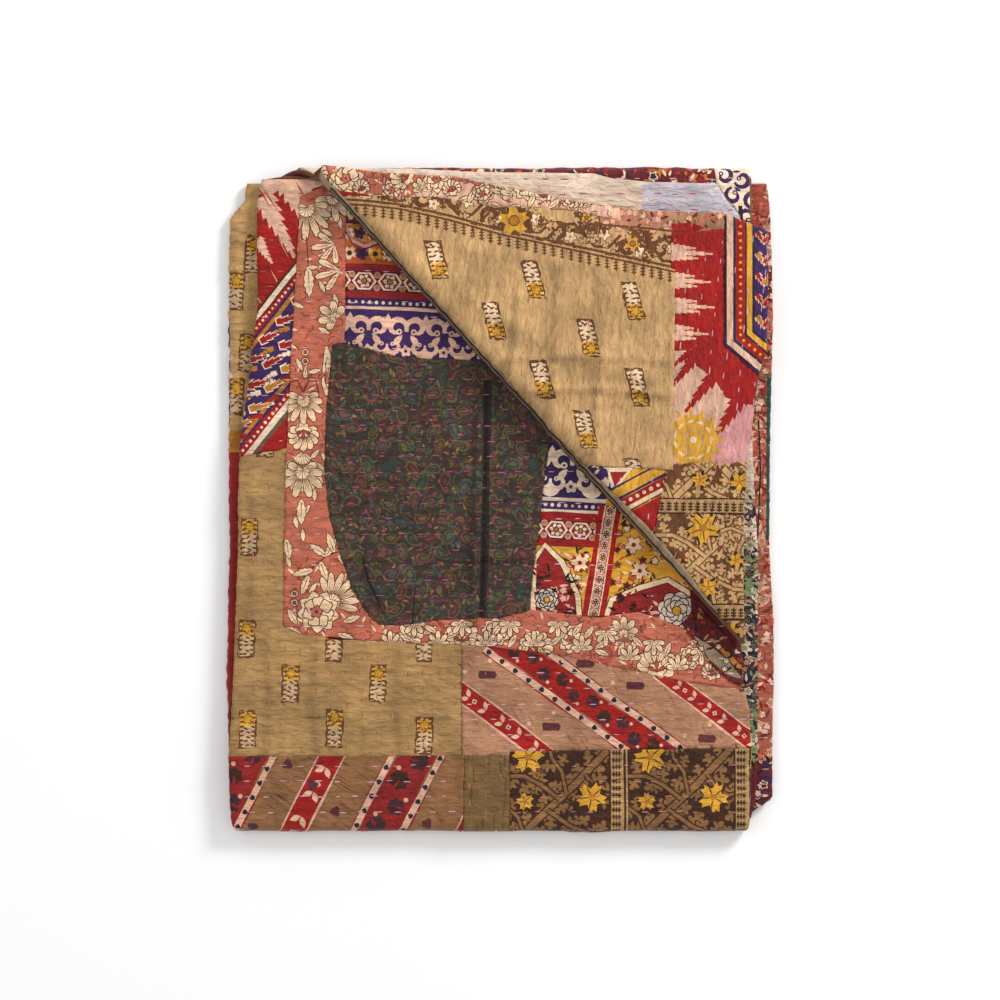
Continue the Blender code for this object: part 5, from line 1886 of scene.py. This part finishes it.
@dataclass
class BaseCloth:
    """The throw's own quilted cloth, one closed sheet on the pile's folds."""

    ply_steps: int = 16
    side_steps: int = 9
    fold_steps: int = 12
    row_step: float = 0.016
    turn_steps: int = 12
    hem: float = 0.0012
    hem_share: float = 0.42
    ply_width: float = 0.42

    def stations(self) -> list[tuple[int, float, float, float, float, float]]:
        """The strip's section: ply, place across, offset, height, turn and share of thickness."""
        found = []
        for ply in range(3):
            level = (ply - 1) * CLOTH.pitch
            places = [n / self.ply_steps for n in range(self.ply_steps + 1)]
            if ply == 0:
                places.insert(1, self.hem / self.ply_width)
            if ply == 2:
                places.insert(-1, 1 - self.hem / self.ply_width)
            for share in places:
                edge = (ply, share) in ((0, 0.0), (2, 1.0))
                across = 1 - share if ply == 1 else share
                found.append((ply, across, 0.0, level, math.pi if ply == 1 else 0.0, self.hem_share if edge else 1.0))
            if ply == 2:
                break
            side = 1 if ply == 0 else -1
            for n in range(1, self.side_steps):
                turn = math.pi * n / self.side_steps
                offset = side * CLOTH.pitch / 2 * math.sin(turn)
                height = level + CLOTH.pitch / 2 * (1 - math.cos(turn))
                found.append((ply, 1.0 if side > 0 else 0.0, offset, height, turn if side > 0 else math.pi - turn,
                    1.0))
        return found

    def rows(self) -> list[tuple[float, float]]:
        """Each row's length along the cloth, or its share of the top panel."""
        c = CLOTH
        knots = [0.0, self.hem]
        knots += [c.first_end_y - r[1] / 1000 for r in c.spans if r[0] == 1 and r[1] < 255]
        knots += [c.second_start + r[1] / 1000 - c.front_fold_y for r in c.spans if r[0] == 2]
        for low, high in ((0.0, c.first_length), (c.second_start, c.second_end)):
            count = round((high - low) / self.row_step)
            knots += [low + (high - low) * n / count for n in range(1, count + 1)]
        for low in (c.first_length, c.second_end):
            knots += [low + math.pi * c.radius * n / self.fold_steps for n in range(1, self.fold_steps + 1)]
        whole = c.back_fold_y + c.last_reach
        count = round(whole / self.row_step)
        shares = sorted({round(k, 4) for k in [n / count for n in range(1,
            count)] + [(c.back_fold_y - r[1] / 1000) / whole for r in c.spans if r[0] == 3
            and -100 < r[1] < 262]}) + [1 - self.hem / whole, 1.0]
        return [(v, -1.0) for v in sorted({round(k, 7) for k in knots})] + [(0.0, s) for s in shares]

    def build(self, silk: bpy.types.Material) -> bpy.types.Object:
        """Builds the sheet flat, cuts it for the turned corner and folds it.

        Args:
            silk: its material.

        Returns:
            The sheet.
        """
        c = CLOTH
        bm = bmesh.new()
        section, grid, rows = self.stations(), [], self.rows()
        ply = np.array([s[0] for s in section])
        across, offset, height, turn, thick = (np.array([s[k] for s in section]) for k in range(1, 6))
        side = c.side_outer
        for number, (length, share) in enumerate(rows):
            v = np.full(len(section), length if share < 0 else c.third_start + 0.37 * share)
            for _ in range(3):
                e = c.edges(v)
                low = np.where(ply == 0, e[0], e[1] + side)
                high = np.where(ply == 2, e[3], e[2] - side)
                x = low + (high - low) * across + offset
                if share >= 0:
                    v = c.third_start + share * c.end_reach(x)
            half = c.cloth_t / 2 * thick * (self.hem_share if number in (0, len(rows) - 1) else 1.0)
            nx, nz = -np.sin(turn), np.cos(turn)
            upper = [bm.verts.new(p) for p in zip(x + nx * half, v, height + nz * half)]
            lower = [bm.verts.new(p) for p in zip(x - nx * half, v, height - nz * half)]
            grid.append((upper, lower))
        for (nu, nl), (fu, fl) in zip(grid, grid[1:]):
            for n in range(len(nu) - 1):
                bm.faces.new((nu[n], nu[n + 1], fu[n + 1], fu[n]))
                bm.faces.new((nl[n], fl[n], fl[n + 1], nl[n + 1]))
            bm.faces.new((nl[0], fl[0], fu[0], nu[0])[::-1])
            bm.faces.new((nu[-1], fu[-1], fl[-1], nl[-1])[::-1])
        for up, low in (grid[0], tuple(reversed(grid[-1]))):
            for n in range(len(up) - 1):
                bm.faces.new((up[n], low[n], low[n + 1], up[n + 1]))
        out = Vector((c.turn_along[1], -c.turn_along[0], 0)).normalized()
        for n in range(self.turn_steps + 1):
            past = math.pi * c.radius * n / self.turn_steps - c.outer
            y = c.turn_at[1] + out.y * past
            place = Vector((c.turn_at[0] + out.x * past, c.third_start + c.back_fold_y - y, 0))
            top = [f for f in bm.faces if min(q.co.y for q in f.verts) > c.third_start - 1e-6]
            geom = list({q for f in top for q in f.verts}) + list({q for f in top for q in f.edges}) + top
            bmesh.ops.bisect_plane(bm, geom=geom, dist=2e-5, plane_co=place, plane_no=(out.x, -out.y, 0))
        bmesh.ops.remove_doubles(bm, verts=bm.verts[:], dist=5e-6)
        bmesh.ops.recalc_face_normals(bm, faces=bm.faces[:])
        mesh = bpy.data.meshes.new("throw_cloth")
        bm.to_mesh(mesh)
        bm.free()
        flat = np.array([q.co[:] for q in mesh.vertices])
        uv = np.stack([flat[:, 0] + 0.43 * np.round(flat[:, 2] / c.pitch), flat[:, 1]], axis=1)
        centre = np.array([p.center[:] for p in mesh.polygons])
        folded = c.fold(flat[:, 0], flat[:, 1], flat[:, 2])
        folded[:, 2] = np.maximum(folded[:, 2], 0.0004)
        mesh.vertices.foreach_set("co", folded.ravel())
        mesh.polygons.foreach_set("use_smooth", [True] * len(mesh.polygons))
        mesh.materials.append(silk)
        choices = (Dye.TAN, Dye.SALMON, Dye.MAROON, Dye.OLIVE, Dye.UMBER, Dye.BRICK, Dye.BROWN, Dye.HONEY)
        cell = np.floor((centre[:, 0] + 0.43 * np.round(centre[:, 2] / c.pitch)) / 0.105) * 5 + np.floor(centre[:,
            1] / 0.083) * 3
        table = np.array([linear(d.value) for d in choices])
        paint(mesh, uv, table[cell.astype(int) % len(choices)])
        obj = bpy.data.objects.new("throw_cloth", mesh)
        bpy.context.scene.collection.objects.link(obj)
        check = bmesh.new()
        check.from_mesh(mesh)
        if check.calc_volume(signed=True) < 0:
            mesh.flip_normals()
        check.free()
        settle(obj)
        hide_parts(NODE)
        LOG.info("base cloth: %d faces", len(mesh.polygons))
        return obj


@dataclass
class RunningStitch:
    """The quilting thread, laid along its rows where each patch shows."""

    thread_mm: float = 1.05
    height_mm: float = 0.55
    skip: float = 0.10

    def places(self) -> dict[Dye, list[tuple[np.ndarray, np.ndarray, np.ndarray, float]]]:
        """Finds each stitch.

        Returns:
            For each thread colour, its stitches as middle, way, upward way and length.
        """
        dice = random.Random(SEED)
        found: dict[Dye, list] = {}
        for patch in PATCHES:
            ring = np.array(patch.outline, float)
            limit = LIMITS.ring(patch.zone)
            above = [np.array(p.outline, float) for p in PATCHES if p.zone is patch.zone
                and p.level_mm > patch.level_mm]
            x, v = CLOTH.on_cloth(patch.zone, np.concatenate([ring, limit]))
            lo, hi = max(x[: len(ring)].min(), -0.23), min(x[: len(ring)].max(), 0.23)
            first, last = v[: len(ring)].min(), v[: len(ring)].max()
            if patch.upright:
                lo, hi, first, last = first, last, lo, hi
            for row in range(int(first / QUILTING.row_pitch) - 1, int(last / QUILTING.row_pitch) + 2):
                line = row * QUILTING.row_pitch
                at = lo + dice.uniform(0, QUILTING.step)
                while at < hi:
                    middle = at + QUILTING.stitch / 2
                    at += QUILTING.step * dice.uniform(0.92, 1.08)
                    if dice.random() < self.skip:
                        continue
                    wob = dice.uniform(-0.0006, 0.0006)
                    cx, cv = (line + wob, middle) if patch.upright else (middle, line + wob)
                    plan = self.plan_of(patch.zone, cx, cv)
                    if not (inside(plan, ring)[0] and inside(plan, limit)[0]):
                        continue
                    if close_to(plan, ring)[0] < 4 or any(inside(plan, other)[0] for other in above):
                        continue
                    found.setdefault(patch.thread, []).append(self.stitch(patch, cx, cv, plan, dice))
        return found

    def plan_of(self, zone: Zone, x: float, v: float) -> np.ndarray:
        """The plan place of a place on the cloth."""
        c = CLOTH
        if zone is Zone.FLAP:
            y = c.back_fold_y + c.third_start - v
            dx, dy = c.turn_along
            ax, ay = x - c.turn_at[0], y - c.turn_at[1]
            along = ax * dx + ay * dy
            reach = ax * dy - ay * dx + c.outer
            out = math.pi * c.radius - reach if reach > math.pi * c.radius else (math.pi - reach / c.radius) * c.outer
            world = (c.turn_at[0] + dx * along + dy * (out - c.outer),
                c.turn_at[1] + dy * along - dx * (out - c.outer))
        elif zone is Zone.PANEL_ONE:
            world = (x, c.first_end_y - v)
        elif zone is Zone.PANEL_THREE:
            world = (x, c.back_fold_y + c.third_start - v)
        else:
            under = max(c.second_start - v, 0.0)
            arc = min(under, math.pi * c.radius)
            world = (x, c.front_fold_y + max(v - c.second_start, 0.0) - arc * c.outer / c.radius - (under - arc))
        return LIMITS.to_plan(np.array([world]))

    def stitch(self, patch: Patch, x: float, v: float, plan: np.ndarray, dice: random.Random) -> tuple:
        """One stitch's middle, way, upward way and length."""
        length = QUILTING.stitch * dice.uniform(0.75, 1.2)
        run, slip = np.array([-length / 2, 0, length / 2]), np.array([0, dice.uniform(-0.0003, 0.0003), 0])
        xs, vs = (x + slip, v + run) if patch.upright else (x + run, v + slip)
        lift = patch.level_mm / 1000 + QUILTING.relief(xs, vs)
        for crease in CREASES:
            if crease.zone is patch.zone:
                lift = lift + crease.lift(plan)
        lift = np.maximum(lift, patch.level_mm / 1000)
        low = CLOTH.lay(patch.zone, xs, vs, lift)
        top = CLOTH.lay(patch.zone, xs, vs, lift + 0.001)
        way = low[2] - low[0]
        up = top[1] - low[1]
        if low[:, 2].min() < 0.0007:
            low[:, 2] = max(low[:, 2].min(), 0.00035)
            way, up = low[2] - low[0], np.array([0.0, 0.0, -0.00001])
        middle = (low[0] + low[2]) / 2 * 0.3 + low[1] * 0.7 + up * (0.12 * self.height_mm)
        return middle, way / max(np.linalg.norm(way), 1e-9), up / max(np.linalg.norm(up), 1e-9), length

    def tree(self, material: bpy.types.Material) -> bpy.types.NodeTree:
        """Builds the node tree that puts a soft thread on every point.

        Args:
            material: the thread's.

        Returns:
            The tree, with Thread and Height as its named sizes.
        """
        group = bpy.data.node_groups.new("running_stitch", "GeometryNodeTree")
        face = group.interface
        face.new_socket("Geometry", in_out="INPUT", socket_type="NodeSocketGeometry")
        face.new_socket("Thread", in_out="INPUT", socket_type="NodeSocketFloat")
        face.new_socket("Height", in_out="INPUT", socket_type="NodeSocketFloat")
        face.new_socket("Seed", in_out="INPUT", socket_type="NodeSocketInt")
        face.new_socket("Geometry", in_out="OUTPUT", socket_type="NodeSocketGeometry")
        inp = add_node(group, "NodeGroupInput")
        out = add_node(group, "NodeGroupOutput")
        bead = add_node(group, "GeometryNodeMeshUVSphere", {"Segments": 6, "Rings": 5, "Radius": 0.5})
        along = add_node(group, "GeometryNodeInputNamedAttribute", {"Name": "way"}, data_type="FLOAT_VECTOR")
        up = add_node(group, "GeometryNodeInputNamedAttribute", {"Name": "up"}, data_type="FLOAT_VECTOR")
        size = add_node(group, "GeometryNodeInputNamedAttribute", {"Name": "length"}, data_type="FLOAT")
        first = add_node(group, "FunctionNodeAlignRotationToVector", {"Vector": up.outputs["Attribute"]}, axis="Z")
        second = add_node(group, "FunctionNodeAlignRotationToVector",
            {"Rotation": first.outputs[0], "Vector": along.outputs["Attribute"]}, axis="X", pivot_axis="Z")
        wide = add_node(group, "FunctionNodeRandomValue", {2: 0.8, 3: 1.2, "Seed": inp.outputs["Seed"]},
            data_type="FLOAT")
        across = add_node(group, "ShaderNodeMath", {0: wide.outputs[1], 1: inp.outputs["Thread"]},
            operation="MULTIPLY")
        scale = add_node(group, "ShaderNodeCombineXYZ",
            {"X": size.outputs["Attribute"], "Y": across.outputs[0], "Z": inp.outputs["Height"]})
        place = add_node(group, "GeometryNodeInstanceOnPoints",
            {"Points": inp.outputs["Geometry"], "Instance": bead.outputs["Mesh"], "Rotation": second.outputs[0],
            "Scale": scale.outputs[0]})
        real = add_node(group, "GeometryNodeRealizeInstances", {"Geometry": place.outputs[0]})
        smooth = add_node(group, "GeometryNodeSetShadeSmooth", {"Geometry": real.outputs[0]})
        dressed = add_node(group, "GeometryNodeSetMaterial", {"Geometry": smooth.outputs[0], "Material": material})
        group.links.new(dressed.outputs[0], out.inputs[0])
        return group

    def build(self) -> list[bpy.types.Object]:
        """Lays the thread.

        Returns:
            One piece for each thread colour.
        """
        pieces = []
        for dye, stitches in self.places().items():
            name = f"stitches_{dye.name.lower()}"
            thread = Thread(f"cotton_thread_{dye.name.lower()}", dye).make()
            mesh = bpy.data.meshes.new(name + "_places")
            mesh.from_pydata([tuple(s[0]) for s in stitches], [], [])
            for key, kind, column in (("way", "FLOAT_VECTOR", 1), ("up", "FLOAT_VECTOR", 2), ("length", "FLOAT", 3)):
                data = np.array([s[column] for s in stitches], np.float32)
                attribute = mesh.attributes.new(key, kind, "POINT")
                attribute.data.foreach_set("vector" if kind == "FLOAT_VECTOR" else "value", data.ravel())
            holder = bpy.data.objects.new(name + "_places", mesh)
            bpy.context.scene.collection.objects.link(holder)
            tree = self.tree(thread)
            modifier = holder.modifiers.new("stitches", "NODES")
            modifier.node_group = tree
            keys = {item.name: item.identifier for item in tree.interface.items_tree if item.in_out == "INPUT"}
            modifier[keys["Thread"]] = self.thread_mm / 1000
            modifier[keys["Height"]] = self.height_mm / 1000
            modifier[keys["Seed"]] = SEED
            graph = bpy.context.evaluated_depsgraph_get()
            graph.update()
            made = bpy.data.meshes.new_from_object(holder.evaluated_get(graph))
            bpy.data.objects.remove(holder, do_unlink=True)
            piece = bpy.data.objects.new(name, made)
            bpy.context.scene.collection.objects.link(piece)
            settle(piece)
            pieces.append(piece)
            LOG.info("%s: %d stitches", name, len(stitches))
        return pieces


@dataclass(frozen=True)
class Studio:
    """A pale table top seen from straight above, under broad soft light."""

    eye_height: float = 2.40
    view_width: float = 0.820
    floor_side: float = 6.0
    sky: float = 0.70
    # name, place, size, watts
    lamps: tuple[tuple[str, tuple[float, float, float], float, float], ...] = (
        ("key", (1.7, 1.7, 1.35), 0.7, 56.0),
        ("fill", (-1.9, 0.2, 1.9), 1.6, 8.0),
    )

    def build(self) -> None:
        """Makes the floor, the lights and the camera."""
        half = self.floor_side / 2
        mat = bpy.data.materials.new("matt_white_board")
        mat.use_nodes = True
        tree = mat.node_tree
        shader = tree.nodes["Principled BSDF"]
        shader.inputs["Roughness"].default_value = 0.9
        where = add_node(tree, "ShaderNodeTexCoord")
        speck = add_node(tree, "ShaderNodeTexNoise", {"Vector": where.outputs["Object"], "Scale": 3.0})
        shade = add_node(tree, "ShaderNodeMix", {"Factor": speck.outputs["Fac"], 6: linear("#FAFAFA"),
            7: linear("#FDFDFD")}, data_type="RGBA")
        tree.links.new(shade.outputs[2], shader.inputs["Base Color"])
        floor = add_mesh("floor", np.array([(-half, -half, 0), (half, -half, 0), (half, half, 0), (-half, half, 0)],
            float), [[0, 1, 2, 3]], mat)
        world = bpy.data.worlds.new("studio")
        bpy.context.scene.world = world
        world.use_nodes = True
        world.node_tree.nodes["Background"].inputs["Color"].default_value = (1.0, 1.0, 1.0, 1.0)
        world.node_tree.nodes["Background"].inputs["Strength"].default_value = self.sky
        for name, place, size, power in self.lamps:
            lamp = bpy.data.lights.new(name, "AREA")
            lamp.size = size
            lamp.energy = power
            holder = bpy.data.objects.new(name, lamp)
            holder.location = place
            holder.rotation_euler = (-Vector(place)).to_track_quat("-Z", "Y").to_euler()
            bpy.context.scene.collection.objects.link(holder)
        camera = bpy.data.cameras.new("camera")
        camera.sensor_width = 36.0
        camera.lens = 36.0 * (self.eye_height - 0.022) / self.view_width
        eye = bpy.data.objects.new("camera", camera)
        eye.location = (-(PLAN_MID[0] - 500) * UNIT, (PLAN_MID[1] - 500) * UNIT, self.eye_height)
        bpy.context.scene.collection.objects.link(eye)
        bpy.context.scene.camera = eye
        bpy.context.scene.view_settings.view_transform = "Standard"


"""How many other pieces may be declared with the sheet."""


def main() -> None:
    """Builds the throw and its setting, in order, and reports each piece."""
    logging.basicConfig(level=logging.INFO, format="%(name)s %(message)s")
    silk = PrintedSilk("printed_sari_silk").make()
    patches = PatchWork().build(silk)
    cloth = BaseCloth().build(silk)
    stitches = RunningStitch().build()
    Studio().build()


if __name__ == "__main__":
    main()
